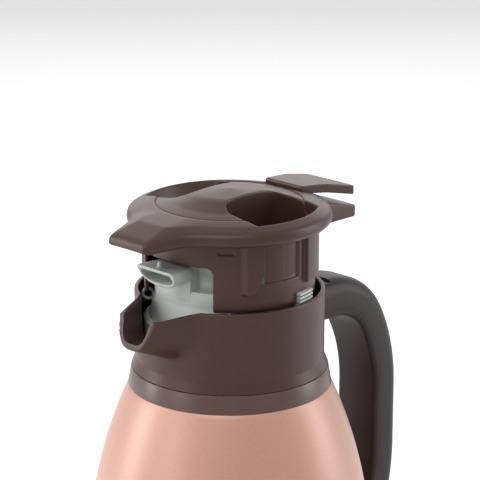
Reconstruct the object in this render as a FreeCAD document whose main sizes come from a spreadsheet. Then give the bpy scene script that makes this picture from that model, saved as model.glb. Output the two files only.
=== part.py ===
import FreeCAD, Part
import math
import os

import Sketcher

# Vacuum carafe with a lift-out stopper lid, shown with the lid drawn part way out.
# Millimetres, +Z up, origin at the centre of the foot pad's underside.
# The spout points to -X and the handle to +X. The XZ plane is the plane of symmetry.

SIZES = [
    # Heights that set the whole object
    ("rim_height", 205.0),
    ("lid_lift", 30.0),
    ("lid_gap", 0.3),
    # Foot, base cap and bottom plate
    ("foot_stand", 2.0),
    ("foot_height", 3.5),
    ("foot_inset", 8.0),
    ("foot_fit", 0.1),
    ("base_top", 11.2),
    ("base_wall", 2.0),
    ("base_floor", 3.5),
    ("base_chamfer", 2.0),
    ("plug_radius", 5.0),
    ("plug_height", 2.0),
    ("getter_radius", 6.0),
    ("getter_height", 2.0),
    ("getter_offset", 24.0),
    # Steel shells
    ("body_radius", 66.0),
    ("shell_wall", 0.6),
    ("shoulder_drop", 135.0),
    ("neck_drop", 45.4),
    ("mouth_drop", 41.0),
    ("mouth_radius", 42.4),
    ("mouth_lip", 3.0),
    ("liner_wall", 0.6),
    ("liner_gap", 4.2),
    ("liner_floor", 5.0),
    ("liner_corner", 14.0),
    ("liner_neck_drop", 58.0),
    # Collar, its band and the seal on the bottle's mouth
    ("collar_wall", 2.0),
    ("collar_step", 1.4),
    ("seal_height", 1.6),
    ("flare_drop", 32.0),
    ("band_drop", 36.8),
    ("band_edge", 0.8),
    ("band_foot", 2.4),
    ("skirt_wall", 1.2),
    ("skirt_fit", 0.2),
    # Spout
    ("spout_root_in", 7.0),
    ("spout_root_half", 23.0),
    ("spout_root_depth", 28.4),
    ("spout_root_side", 13.0),
    ("spout_reach", 19.0),
    ("spout_lip_out", 14.0),
    ("spout_tip_half", 9.8),
    ("spout_tip_depth", 14.0),
    ("spout_tip_side", 8.0),
    ("spout_tip_drop", 2.0),
    ("spout_wall", 2.2),
    # Handle
    ("handle_top_drop", 8.6),
    ("handle_depth", 18.0),
    ("handle_width", 25.0),
    ("handle_corner", 7.0),
    ("handle_wall", 2.5),
    ("handle_split", 4.0),
    ("handle_tongue", 2.0),
    ("handle_arm", 17.0),
    ("handle_reach", 30.0),
    ("handle_turn", 60.0),
    ("handle_back_bend", 75.0),
    ("handle_grip_drop", 100.0),
    ("handle_low_bend", 110.0),
    ("handle_foot_bend", 16.0),
    ("handle_foot_out", 8.0),
    ("handle_fit", 0.05),
    ("bracket_thick", 2.5),
    ("boss_half", 6.0),
    ("boss_length", 14.0),
    ("screw_radius", 1.7),
    ("screw_head_radius", 3.2),
    ("screw_head", 1.6),
    ("screw_fit", 0.05),
    ("upper_screw_out", 8.0),
    ("upper_screw_length", 13.0),
    # Lid cover
    ("brim_over", 3.0),
    ("brim_under", 1.3),
    ("brim_edge", 5.0),
    ("brim_bulge", 1.6),
    ("brim_width", 12.5),
    ("crease_height", 9.7),
    ("slope_mid_in", 6.0),
    ("slope_mid_height", 8.2),
    ("dome_height", 15.2),
    ("plate_thick", 2.5),
    ("plate_fit", 0.05),
    ("deck_thick", 2.2),
    ("visor_reach", 17.0),
    ("visor_tip_half", 11.4),
    ("visor_root_half", 25.0),
    ("visor_mid_out", 6.0),
    ("visor_mid_half", 15.0),
    ("visor_lift", 0.4),
    ("visor_thick", 3.6),
    ("recess_front", 19.0),
    ("recess_rear", 25.0),
    ("recess_inner", 15.5),
    ("recess_floor", 7.8),
    ("recess_low_in", 1.8),
    ("recess_top_in", 6.0),
    ("recess_low_level", 1.2),
    ("cup_wall", 1.5),
    ("tail_reach", 21.0),
    ("tail_half", 16.7),
    ("tail_root_top", 2.0),
    ("tail_end_top", 3.1),
    ("tail_end_bottom", 8.0),
    ("tail_clear", 0.6),
    # Lever
    ("pin_in", 3.5),
    ("pin_height", 3.7),
    ("pin_radius", 1.5),
    ("pin_fit", 0.05),
    ("ear_thick", 2.4),
    ("ear_gap", 0.4),
    ("barrel_radius", 3.2),
    ("lever_half", 11.2),
    ("lever_end_half", 15.5),
    ("end_bow", 2.5),
    ("lever_front_out", 1.1),
    ("lever_front_top", 11.3),
    ("lever_mid_out", 4.0),
    ("lever_mid_top", 9.9),
    ("lever_end_top", 5.9),
    ("lever_thick", 4.2),
    ("slot_gap", 0.5),
    ("arm_half", 6.5),
    ("arm_thick", 3.0),
    ("arm_tip", 5.0),
    # Stopper housing
    ("housing_gap", 2.5),
    ("housing_wall", 1.7),
    ("housing_length", 31.0),
    ("rib_gap", 0.4),
    ("rib_length", 23.0),
    ("front_rib_angle", 113.4),
    ("front_rib_span", 16.1),
    ("rear_rib_angle", 55.0),
    ("rear_rib_span", 22.0),
    ("vent_angle", 132.0),
    ("vent_span", 11.0),
    ("vent_drop", 2.3),
    ("vent_height", 2.0),
    ("window_half_angle", 33.5),
    ("window_top", 11.3),
    ("screw_post_in", 3.7),
    ("screw_post_radius", 3.0),
    ("screw_tab_radius", 4.2),
    ("screw_tab_thick", 2.3),
    ("lid_screw_radius", 1.3),
    ("lid_screw_length", 6.0),
    # Pour nozzle
    ("chamber_gap", 2.3),
    ("chamber_wall", 1.5),
    ("chamber_roof", 10.3),
    ("nozzle_top", 12.3),
    ("nozzle_half", 11.5),
    ("nozzle_depth", 9.5),
    ("nozzle_reach", 6.0),
    ("nozzle_low_reach", 1.5),
    ("nozzle_wall", 1.8),
    # Stopper base, gasket and valve
    ("base_level", 50.3),
    ("flange_gap", 0.6),
    ("base_flange_height", 5.0),
    ("base_flange_chamfer", 1.5),
    ("barrel_fit", 0.4),
    ("base_barrel_top", 24.8),
    ("base_fit", 0.2),
    ("base_recess", 1.0),
    ("inlet_radius", 9.0),
    ("lug_gap", 0.3),
    ("lug_fit", 0.1),
    ("lug_height", 4.7),
    ("lug_angle", 70.0),
    ("lug_span", 15.0),
    ("seat_width", 2.5),
    ("gasket_gap", 0.3),
    ("gasket_height", 7.2),
    ("gasket_rib", 1.3),
    ("gasket_fit", 0.1),
    ("stem_radius", 2.5),
    ("stem_fit", 0.1),
    ("stem_head_radius", 5.5),
    ("stem_head", 2.0),
    ("stem_head_level", 0.3),
    ("fork_gap", 0.9),
    ("fork_side", 1.2),
    ("valve_gap", 0.1),
    ("washer_radius", 12.3),
    ("washer_thick", 1.5),
    ("disc_radius", 12.0),
    ("disc_thick", 2.5),
    ("stem_flange_radius", 6.0),
    ("stem_flange", 1.0),
    ("stem_button_radius", 4.0),
    ("stem_button", 1.5),
    ("stem_seal_radius", 5.5),
    ("stem_seal_height", 2.0),
    ("spring_inner", 3.3),
    ("spring_outer", 4.8),
]

ARC = "arc"
DOME = ("dome",)
LEVEL = ("level",)
FULL_TURN = 360.0
HALF_TURN = 180.0
DIAGONAL = math.sqrt(0.5)
GASKET_LIPS = 3
SCREW_POST_TURN = math.radians(25.0)


class Size:
    """A length: its value now, and the sheet expression that gives it."""

    def __init__(self, value, text):
        self.value = value
        self.text = text

    def __add__(self, other):
        return Size(self.value + value_of(other), "(%s + %s)" % (self.text, text_of(other)))

    def __sub__(self, other):
        return Size(self.value - value_of(other), "(%s - %s)" % (self.text, text_of(other)))

    def __mul__(self, factor):
        return Size(self.value * factor, "(%s * %r)" % (self.text, factor))

    def __neg__(self):
        return Size(-self.value, "(-%s)" % self.text)


def value_of(size):
    return size.value if isinstance(size, Size) else float(size)


def text_of(size):
    return size.text if isinstance(size, Size) else repr(float(size))


class Sizes:
    """The sheet's cells by name."""


doc = FreeCAD.newDocument("vacuum_carafe")
sheet = doc.addObject("Spreadsheet::Sheet", "Sizes")
d = Sizes()
for row, (alias, number) in enumerate(SIZES, start=1):
    sheet.set("A%d" % row, alias)
    sheet.set("B%d" % row, repr(number))
    sheet.setAlias("B%d" % row, alias)
doc.recompute()
for alias, _ in SIZES:
    setattr(d, alias, Size(float(sheet.get(alias)), "Sizes." + alias))

rim = d.rim_height
lid = d.rim_height + d.lid_lift + d.lid_gap

# Radii that follow from the bottle's mouth, each by its own wall, step or clearance
liner_radius = d.mouth_radius - d.mouth_lip
collar_bore = d.mouth_radius - d.collar_step
collar_radius = collar_bore + d.collar_wall
band_bore = d.mouth_radius + d.skirt_wall + d.skirt_fit * 2
band_top_radius = band_bore + d.band_edge
neck_radius = band_bore + d.band_foot
housing_radius = collar_bore - d.housing_gap
housing_bore = housing_radius - d.housing_wall
rib_radius = collar_bore - d.rib_gap
chamber_radius = housing_bore - d.chamber_gap
base_barrel_radius = housing_bore - d.barrel_fit
base_flange_radius = liner_radius - d.flange_gap
gasket_radius = liner_radius - d.gasket_gap
lug_radius = collar_bore - d.lug_gap
brim_radius = collar_radius + d.brim_over
brim_under_radius = collar_radius + d.brim_under
crease_radius = brim_radius - d.brim_width
slope_mid_radius = brim_radius - d.slope_mid_in
recess_top_radius = brim_radius - d.recess_top_in
recess_low_radius = housing_bore - d.recess_low_in

# Distances from the axis along the plane of symmetry
spout_root_x = collar_bore - d.spout_root_in
spout_lip_x = collar_radius + d.spout_lip_out
spout_tip_x = collar_radius + d.spout_reach
visor_mid_x = brim_radius + d.visor_mid_out
visor_tip_x = brim_radius + d.visor_reach
tail_end_x = brim_radius + d.tail_reach
pin_x = crease_radius - d.pin_in
lever_front_x = crease_radius + d.lever_front_out
lever_mid_x = brim_radius + d.lever_mid_out
screw_post_x = (housing_bore - d.screw_post_in) * math.cos(SCREW_POST_TURN)
screw_post_y = (housing_bore - d.screw_post_in) * math.sin(SCREW_POST_TURN)
nozzle_low_x = collar_bore + d.nozzle_low_reach
nozzle_end_x = collar_bore + d.nozzle_reach


def sketch(body, plane, points, offset=0.0):
    """A closed outline in a body. Each corner is dimensioned from the two axes, and an entry marked
    ARC is a point that the arc between its neighbours passes through. DOME joins its neighbours by
    an arc whose centre is on the upright axis, and LEVEL by one that leaves the lower of them upright."""
    planes = {feature.Role: feature for feature in body.Origin.OriginFeatures}
    drawing = body.newObject("Sketcher::SketchObject", body.Name + "_outline")
    drawing.AttachmentSupport = [(planes[plane], "")]
    drawing.MapMode = "FlatFace"
    drawing.AttachmentOffset = FreeCAD.Placement(FreeCAD.Vector(0, 0, value_of(offset)), FreeCAD.Rotation())
    drawing.setExpression("AttachmentOffset.Base.z", text_of(offset))

    def hold(geometry, end, point):
        for kind, axis, size in (("DistanceX", -2, point[0]), ("DistanceY", -1, point[1])):
            if value_of(size) == 0.0:
                drawing.addConstraint(Sketcher.Constraint("PointOnObject", geometry, end, axis))
                continue
            index = drawing.addConstraint(Sketcher.Constraint(kind, -1, 1, geometry, end, value_of(size)))
            drawing.setExpression("Constraints[%d]" % index, text_of(size))

    def flat(point):
        return FreeCAD.Vector(value_of(point[0]), value_of(point[1]), 0)

    def dome_centre(a, b):
        level = (b.x ** 2 + b.y ** 2 - a.x ** 2 - a.y ** 2) / (2 * (b.y - a.y))
        return FreeCAD.Vector(0, level, 0)

    def level_centre(a, b):
        low, high = (a, b) if a.y < b.y else (b, a)
        across = low.x ** 2 - high.x ** 2 - (high.y - low.y) ** 2
        return FreeCAD.Vector(across / (2 * (low.x - high.x)), low.y, 0)

    def arc_middle(a, b, centre):
        chord = (a + b) * 0.5 - centre
        return centre + chord.normalize() * (a - centre).Length

    ends = []
    index = 0
    while index < len(points):
        start = points[index]
        after = points[(index + 1) % len(points)]
        if len(after) != 2:
            finish = points[(index + 2) % len(points)]
            a, b = flat(start), flat(finish)
            if after == DOME:
                m = arc_middle(a, b, dome_centre(a, b))
            elif after == LEVEL:
                m = arc_middle(a, b, level_centre(a, b))
            else:
                m = flat(after)
            turn = (m - a).cross(b - m).z
            geometry = drawing.addGeometry(Part.Arc(a, m, b) if turn > 0 else Part.Arc(b, m, a))
            if after == DOME:
                drawing.addConstraint(Sketcher.Constraint("PointOnObject", geometry, 3, -2))
            elif after == LEVEL:
                lower_end = 1 if (a.y < b.y) == (turn > 0) else 2
                drawing.addConstraint(Sketcher.Constraint("Horizontal", geometry, 3, geometry, lower_end))
            else:
                via = drawing.addGeometry(Part.Point(m))
                hold(via, 1, after)
                drawing.addConstraint(Sketcher.Constraint("PointOnObject", via, 1, geometry))
            ends.append((geometry, 1, 2, start) if turn > 0 else (geometry, 2, 1, start))
            index += 2
        else:
            geometry = drawing.addGeometry(Part.LineSegment(flat(start), flat(after)))
            ends.append((geometry, 1, 2, start))
            index += 1
    for (geometry, first, last, start), following in zip(ends, ends[1:] + ends[:1]):
        hold(geometry, first, start)
        drawing.addConstraint(
            Sketcher.Constraint("Coincident", geometry, last, following[0], following[1]))
    return drawing


def body_named(label):
    body = doc.addObject("PartDesign::Body", label)
    body.Label = label
    return body


def turned(label, points):
    """A piece turned about the bottle's axis, from an outline of (radius, height) corners."""
    body = body_named(label)
    turning = body.newObject("PartDesign::Revolution", label + "_turning")
    turning.Profile = sketch(body, "XZ_Plane", points)
    turning.ReferenceAxis = (turning.Profile[0], ["V_Axis"])
    turning.Angle = FULL_TURN
    return body


def slab(label, plane, points, depth, offset=0.0, symmetric=False):
    """An outline padded to a depth, from an offset plane or equally both sides of the plane."""
    body = body_named(label)
    pad = body.newObject("PartDesign::Pad", label + "_pad")
    pad.Profile = sketch(body, plane, points, offset)
    pad.setExpression("Length", text_of(depth))
    pad.SideType = "Symmetric" if symmetric else "One side"
    return body


def place(item, x, y, z):
    item.Placement.Base = FreeCAD.Vector(value_of(x), value_of(y), value_of(z))
    item.setExpression("Placement.Base.x", text_of(x))
    item.setExpression("Placement.Base.y", text_of(y))
    item.setExpression("Placement.Base.z", text_of(z))


def block(label, x, y, z):
    """A box from three (low, high) pairs."""
    box = doc.addObject("Part::Box", label)
    for side, (low, high) in zip(("Length", "Width", "Height"), (x, y, z)):
        box.setExpression(side, "%s - %s" % (text_of(high), text_of(low)))
    place(box, x[0], y[0], z[0])
    return box


def rod(label, radius, low, high, x=0.0, y=0.0, start=0.0, span=FULL_TURN):
    """An upright cylinder, or the sector of one that starts at an angle and spans another."""
    cylinder = doc.addObject("Part::Cylinder", label)
    cylinder.setExpression("Radius", text_of(radius))
    cylinder.setExpression("Height", "%s - %s" % (text_of(high), text_of(low)))
    cylinder.setExpression("Angle", text_of(span))
    place(cylinder, x, y, low)
    cylinder.Placement.Rotation = FreeCAD.Rotation(FreeCAD.Vector(0, 0, 1), value_of(start))
    cylinder.setExpression("Placement.Rotation.Angle", text_of(start))
    return cylinder


def cross_rod(label, radius, half_length, x, z):
    """A cylinder that lies along Y."""
    cylinder = doc.addObject("Part::Cylinder", label)
    cylinder.setExpression("Radius", text_of(radius))
    cylinder.setExpression("Height", text_of(half_length * 2))
    cylinder.Placement.Rotation = FreeCAD.Rotation(FreeCAD.Vector(1, 0, 0), -90)
    place(cylinder, x, -half_length, z)
    return cylinder


def fused(label, items):
    union = doc.addObject("Part::MultiFuse", label)
    union.Shapes = items
    return union


def shared(label, items):
    overlap = doc.addObject("Part::MultiCommon", label)
    overlap.Shapes = items
    return overlap


def less(label, base, tools):
    difference = doc.addObject("Part::Cut", label)
    difference.Base = base
    difference.Tool = tools[0] if len(tools) == 1 else fused(label + "_tools", tools)
    return difference


nodes = {}


def node(item, name):
    item.Label = name
    nodes[name] = item
    return item


def handle_route():
    """The handle's centre line: out along the arm, round and down the grip, in to the foot. The first
    bend takes up what the others leave of the way from the arm's end to the grip."""
    arm_z = rim.value - d.handle_top_drop.value - d.handle_depth.value / 2
    arm_end = collar_radius.value + d.handle_arm.value
    reach = d.body_radius.value + d.handle_reach.value
    turn, back = math.radians(d.handle_turn.value), d.handle_back_bend.value
    low, foot = d.handle_low_bend.value, d.handle_foot_bend.value
    foot_x = d.body_radius.value + d.handle_foot_out.value
    top = (reach - arm_end - back * (1 - math.sin(turn))) / math.sin(turn)
    lean = math.acos((low + foot_x - reach) / (low - foot))
    grip_z = rim.value - d.handle_grip_drop.value

    def bend(centre, radius, angle):
        return FreeCAD.Vector(centre[0] + radius * math.cos(angle), 0, centre[1] + radius * math.sin(angle))

    def arc(centre, radius, first, last):
        middle = (first + last) / 2
        points = [bend(centre, radius, angle) for angle in (first, middle, last)]
        return Part.Arc(*points).toShape()

    up = math.pi / 2
    top_centre = (arm_end, arm_z - top)
    join = bend(top_centre, top, up - turn)
    back_centre = (reach - back, join.z - back * math.cos(turn))
    low_centre = (reach - low, grip_z)
    foot_centre = (foot_x, grip_z - (low - foot) * math.sin(lean))
    foot_z = foot_centre[1] - foot
    edges = [
        Part.makeLine(FreeCAD.Vector(0, 0, arm_z), FreeCAD.Vector(arm_end, 0, arm_z)),
        arc(top_centre, top, up, up - turn),
        arc(back_centre, back, up - turn, 0),
        Part.makeLine(FreeCAD.Vector(reach, 0, back_centre[1]), FreeCAD.Vector(reach, 0, grip_z)),
        arc(low_centre, low, 0, -lean),
        arc(foot_centre, foot, -lean, -up),
        Part.makeLine(FreeCAD.Vector(foot_x, 0, foot_z), FreeCAD.Vector(0, 0, foot_z)),
    ]
    return Part.Wire(edges), arm_z, foot_z


def handle_sweep(section):
    """A handle piece: a section of (across, outward) points swept along the route, with its ends
    cut to the collar and to the bottle."""
    route, arm_z, foot_z = handle_route()

    def at(point):
        return FreeCAD.Vector(0, point[0], arm_z + point[1])

    edges = []
    index = 0
    while index < len(section):
        start, after = section[index], section[(index + 1) % len(section)]
        if len(after) == 3:
            finish = section[(index + 2) % len(section)]
            edges.append(Part.Arc(at(start), at(after), at(finish)).toShape())
            index += 2
        else:
            edges.append(Part.makeLine(at(start), at(after)))
            index += 1
    swept = route.makePipeShell([Part.Wire(edges)], True, False)
    fit = d.handle_fit.value
    low_end = FreeCAD.Vector(0, 0, 0)
    bottle = Part.makeCylinder(d.body_radius.value + fit, foot_z + d.handle_depth.value, low_end)
    collar_end = FreeCAD.Vector(0, 0, rim.value - d.band_drop.value)
    collar = Part.makeCylinder(collar_radius.value + fit, d.band_drop.value, collar_end)
    return swept.cut(bottle).cut(collar)


def corner(across, outward, radius, side):
    """The middle of a quarter round whose centre is inside the section."""
    reach = radius * DIAGONAL
    return (side * (across - radius + reach), outward - radius + reach, ARC)


# Foot pad: soft round pad that the carafe stands on
foot_outer = d.body_radius - d.foot_inset
node(turned("foot_pad", [
    (0.0, 0.0),
    (foot_outer, 0.0),
    (foot_outer, d.foot_height),
    (0.0, d.foot_height),
]), "foot_pad")

# Base cap: moulded dish under the bottle, recessed for the foot pad
base_floor_top = d.foot_stand + d.base_floor
base_inner = d.body_radius - d.base_wall
node(turned("base_cap", [
    (0.0, d.foot_height),
    (foot_outer + d.foot_fit, d.foot_height),
    (foot_outer + d.foot_fit, d.foot_stand),
    (d.body_radius - d.base_chamfer, d.foot_stand),
    (d.body_radius, d.foot_stand + d.base_chamfer),
    (d.body_radius, d.base_top),
    (base_inner, d.base_top),
    (base_inner, base_floor_top),
    (0.0, base_floor_top),
]), "base_cap")

# Bottom plate: steel disc welded under the outer shell, closing the vacuum
plate_top = d.base_top + d.shell_wall
node(turned("bottom_plate", [
    (0.0, d.base_top),
    (d.body_radius, d.base_top),
    (d.body_radius, plate_top),
    (0.0, plate_top),
]), "bottom_plate")

# Evacuation plug: solder plug over the hole where the air was drawn out
node(rod("evacuation_plug", d.plug_radius, d.base_top - d.plug_height, d.base_top), "evacuation_plug")

# Getter: pellet on the bottom plate that holds the vacuum
node(rod("getter", d.getter_radius, plate_top, plate_top + d.getter_height, d.getter_offset), "getter")

# Outer shell: painted steel bottle, turned in at the shoulder to a short neck
shoulder_z = rim - d.shoulder_drop
neck_z = rim - d.neck_drop
mouth_z = rim - d.mouth_drop
shell_inner = d.body_radius - d.shell_wall
node(turned("outer_shell", [
    (d.body_radius, plate_top),
    (d.body_radius, shoulder_z),
    LEVEL,
    (neck_radius, neck_z),
    (d.mouth_radius, neck_z),
    (d.mouth_radius, mouth_z),
    (d.mouth_radius - d.shell_wall, mouth_z),
    (d.mouth_radius - d.shell_wall, neck_z - d.shell_wall),
    (neck_radius - d.shell_wall, neck_z - d.shell_wall),
    LEVEL,
    (shell_inner, shoulder_z),
    (shell_inner, plate_top),
]), "outer_shell")

# Liner of bare steel, welded from three pieces: the neck with the flange that it hangs from, the
# bottle itself with its shoulder, and the round-cornered bottom
liner_outer = shell_inner - d.liner_gap
liner_inner = liner_outer - d.liner_wall
liner_mouth = liner_radius + d.liner_wall
liner_neck_z = rim - d.liner_neck_drop
liner_low = plate_top + d.liner_floor
liner_weld_z = liner_low + d.liner_corner
liner_bend = d.liner_corner * (1 - DIAGONAL)
liner_bend_in = liner_bend + d.liner_wall * DIAGONAL
mouth_top = mouth_z + d.liner_wall
node(turned("inner_neck", [
    (liner_radius, mouth_top),
    (d.mouth_radius, mouth_top),
    (d.mouth_radius, mouth_z),
    (liner_mouth, mouth_z),
    (liner_mouth, liner_neck_z),
    (liner_radius, liner_neck_z),
]), "inner_neck")
node(turned("inner_bottle", [
    (liner_mouth, liner_neck_z),
    LEVEL,
    (liner_outer, shoulder_z),
    (liner_outer, liner_weld_z),
    (liner_inner, liner_weld_z),
    (liner_inner, shoulder_z),
    LEVEL,
    (liner_radius, liner_neck_z),
]), "inner_bottle")
node(turned("inner_base", [
    (liner_outer, liner_weld_z),
    (liner_outer - liner_bend, liner_low + liner_bend, ARC),
    (liner_outer - d.liner_corner, liner_low),
    (0.0, liner_low),
    (0.0, liner_low + d.liner_wall),
    (liner_outer - d.liner_corner, liner_low + d.liner_wall),
    (liner_outer - liner_bend_in, liner_low + liner_bend_in, ARC),
    (liner_inner, liner_weld_z),
]), "inner_base")

# Neck seal: silicone ring pinched between the bottle's mouth and the collar
seal_top = mouth_top + d.seal_height
node(turned("neck_seal", [
    (liner_radius, mouth_top),
    (d.mouth_radius, mouth_top),
    (d.mouth_radius, seal_top),
    (liner_radius, seal_top),
]), "neck_seal")


def spout_section(half, depth, side, top):
    """A U across the spout, closed at its top edge."""
    return [
        (-half, rim - top),
        (half, rim - top),
        (half, rim - side),
        (0.0, rim - depth, ARC),
        (-half, rim - side),
    ]


# Collar: moulded ring on the neck, with the pouring spout and the boss for the handle
band_z = rim - d.band_drop
skirt_outer = band_bore - d.skirt_fit
collar = turned("collar", [
    (collar_bore, rim),
    (collar_bore, seal_top),
    (d.mouth_radius + d.skirt_fit, seal_top),
    (d.mouth_radius + d.skirt_fit, neck_z),
    (skirt_outer, neck_z),
    (skirt_outer, band_z),
    (band_top_radius, band_z),
    (collar_radius, rim - d.flare_drop),
    (collar_radius, rim),
])
wall = d.spout_wall
spout = collar.newObject("PartDesign::AdditiveLoft", "spout")
spout.Profile = sketch(
    collar, "YZ_Plane", spout_section(d.spout_root_half, d.spout_root_depth, d.spout_root_side, 0.0),
    -spout_root_x)
spout.Sections = [sketch(
    collar, "YZ_Plane", spout_section(d.spout_tip_half, d.spout_tip_depth, d.spout_tip_side, d.spout_tip_drop),
    -spout_tip_x)]
channel = collar.newObject("PartDesign::SubtractiveLoft", "spout_channel")
channel.Profile = sketch(
    collar, "YZ_Plane",
    spout_section(d.spout_root_half - wall, d.spout_root_depth - wall, d.spout_root_side - wall, -wall),
    -spout_root_x)
channel.Sections = [sketch(
    collar, "YZ_Plane",
    spout_section(d.spout_tip_half - wall, d.spout_tip_depth - wall, d.spout_tip_side - wall, -wall),
    -spout_tip_x - wall)]
bore = collar.newObject("PartDesign::Groove", "collar_bore_cut")
bore.Profile = sketch(collar, "XZ_Plane", [
    (0.0, seal_top),
    (collar_bore, seal_top),
    (collar_bore, rim + wall),
    (0.0, rim + wall),
])
bore.ReferenceAxis = (bore.Profile[0], ["V_Axis"])
bore.Angle = FULL_TURN
lip = collar.newObject("PartDesign::Pocket", "spout_lip_cut")
lip.Profile = sketch(collar, "XZ_Plane", [
    (-spout_lip_x, rim - d.spout_tip_drop + wall),
    (-spout_tip_x, rim - d.spout_tip_depth),
    (-spout_tip_x - wall, rim - d.spout_tip_depth),
    (-spout_tip_x - wall, rim - d.spout_tip_drop + wall),
])
lip.SideType = "Symmetric"
lip.setExpression("Length", text_of(d.spout_root_half * 2))
arm_z = rim - d.handle_top_drop - d.handle_depth * 0.5
half_depth = d.handle_depth * 0.5
boss = block(
    "handle_boss",
    (collar_radius - d.spout_wall * 0.5, collar_radius + d.boss_length),
    (-d.boss_half, d.boss_half),
    (arm_z - half_depth + d.handle_split + d.handle_tongue + d.handle_fit,
     arm_z + half_depth - d.handle_wall - d.handle_fit))
upper_screw_x = collar_radius + d.upper_screw_out
upper_hole = rod(
    "upper_screw_hole", d.screw_radius + d.screw_fit,
    arm_z - half_depth - d.screw_head, arm_z - half_depth + d.upper_screw_length + d.screw_fit,
    upper_screw_x)
node(less("collar_piece", fused("collar_solid", [collar, boss]), [upper_hole]), "collar")

# Collar band: separate trim ring between the collar and the painted shoulder
node(turned("collar_band", [
    (band_bore, band_z),
    (band_top_radius, band_z),
    (neck_radius, neck_z),
    (band_bore, neck_z),
]), "collar_band")

# Handle shell: channel moulding that forms the back of the handle
half_width = d.handle_width.value / 2
depth = d.handle_depth.value / 2
round_out = d.handle_corner.value
handle_wall = d.handle_wall.value
round_in = max(round_out - handle_wall, handle_wall)
inner_half = half_width - handle_wall
inner_depth = depth - handle_wall
split = -depth + d.handle_split.value
handle_fit = d.handle_fit.value
shell_sweep = doc.addObject("Part::Feature", "handle_shell_sweep")
shell_sweep.Shape = handle_sweep([
    (-half_width, split),
    (-half_width, depth - round_out),
    corner(half_width, depth, round_out, -1),
    (-half_width + round_out, depth),
    (half_width - round_out, depth),
    corner(half_width, depth, round_out, 1),
    (half_width, depth - round_out),
    (half_width, split),
    (inner_half, split),
    (inner_half, inner_depth - round_in),
    corner(inner_half, inner_depth, round_in, 1),
    (inner_half - round_in, inner_depth),
    (-inner_half + round_in, inner_depth),
    corner(inner_half, inner_depth, round_in, -1),
    (-inner_half, inner_depth - round_in),
    (-inner_half, split),
])
_, _, foot_level = handle_route()
foot_under = foot_level - depth
lower_x = d.body_radius + d.handle_foot_out * 0.5
lower_hole = rod(
    "lower_screw_hole", d.screw_radius + d.screw_fit, foot_under - handle_wall, foot_level, lower_x)
node(less("handle_shell_piece", shell_sweep, [lower_hole]), "handle_shell")

# Handle cover: inner half of the handle, which closes the channel
tongue_half = inner_half - handle_fit
tongue_top = split + d.handle_tongue.value
cover_top = split - handle_fit
cover_round = d.handle_split.value - handle_fit
cover_bend = cover_round * (1 - DIAGONAL)
cover_sweep = doc.addObject("Part::Feature", "handle_cover_sweep")
cover_sweep.Shape = handle_sweep([
    (-half_width, cover_top),
    (-tongue_half, cover_top),
    (-tongue_half, tongue_top),
    (tongue_half, tongue_top),
    (tongue_half, cover_top),
    (half_width, cover_top),
    (half_width - cover_bend, -depth + cover_bend, ARC),
    (half_width - cover_round, -depth),
    (-half_width + cover_round, -depth),
    (-half_width + cover_bend, -depth + cover_bend, ARC),
])
node(less("handle_cover_piece", cover_sweep, [upper_hole]), "handle_cover")

# Handle bracket: steel tab welded to the shell, inside the handle's foot
bracket_low = foot_under + handle_wall + handle_fit
bracket_half = d.handle_width * 0.5 - d.handle_corner - d.handle_fit
bracket = block(
    "bracket_tab",
    (d.body_radius - d.handle_foot_out, d.body_radius + d.handle_foot_out),
    (-bracket_half, bracket_half),
    (bracket_low, d.bracket_thick + bracket_low))
bottle_side = rod("bottle_side", d.body_radius + d.handle_fit, 0.0, rim)
node(less("handle_bracket_piece", bracket, [bottle_side, lower_hole]), "handle_bracket")

# Handle screws: one up into the collar's boss, one up into the bracket
upper_under = arm_z - half_depth
screws = [
    fused("upper_screw", [
        rod("upper_head", d.screw_head_radius, upper_under - d.screw_head, upper_under, upper_screw_x),
        rod("upper_shank", d.screw_radius, upper_under, upper_under + d.upper_screw_length, upper_screw_x),
    ]),
    fused("lower_screw", [
        rod("lower_head", d.screw_head_radius, -d.screw_head + foot_under, foot_under, lower_x),
        rod("lower_shank", d.screw_radius, foot_under, d.bracket_thick + bracket_low, lower_x),
    ]),
]
handle_screws = doc.addObject("Part::Compound", "handle_screws")
handle_screws.Links = screws
node(handle_screws, "handle_screws")

# Lid cover: brim, visor over the spout, two finger cups and the tail under the lever
crease_z = lid + d.crease_height
dome_top = lid + d.dome_height
deck_drop = d.plate_thick + d.plate_fit
deck_low = deck_drop + d.deck_thick
cavity = recess_low_radius + d.cup_wall * 0.5
brim = turned("brim", [
    (brim_under_radius, lid),
    (brim_radius, lid + d.brim_bulge),
    (brim_radius, lid + d.brim_edge),
    (slope_mid_radius, lid + d.slope_mid_height, ARC),
    (crease_radius, crease_z),
    (crease_radius, crease_z - deck_drop),
    DOME,
    (0.0, dome_top - deck_drop),
    (0.0, dome_top - deck_low),
    DOME,
    (crease_radius, crease_z - deck_low),
    (cavity, crease_z - deck_low),
    (cavity, lid),
])
visor = slab("visor", "XY_Plane", [
    (-visor_tip_x, -d.visor_tip_half),
    (-visor_tip_x, d.visor_tip_half),
    (-visor_mid_x, d.visor_mid_half, ARC),
    (-housing_radius, d.visor_root_half),
    (-housing_radius, -d.visor_root_half),
    (-visor_mid_x, -d.visor_mid_half, ARC),
], d.visor_thick, lid + d.visor_lift)
tail_plate = slab("tail_plate", "XZ_Plane", [
    (collar_bore, lid + d.tail_root_top),
    (tail_end_x, lid - d.tail_end_top),
    (tail_end_x, lid - d.tail_end_bottom),
    (collar_bore, lid + d.visor_lift),
], d.tail_half * 2, symmetric=True)
tail_plan = slab("tail_plan", "XY_Plane", [
    (collar_bore, -d.tail_half),
    (tail_end_x - d.end_bow, -d.tail_half),
    (tail_end_x, 0.0, ARC),
    (tail_end_x - d.end_bow, d.tail_half),
    (collar_bore, d.tail_half),
], d.tail_end_bottom * 2, lid - d.tail_end_bottom)
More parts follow.
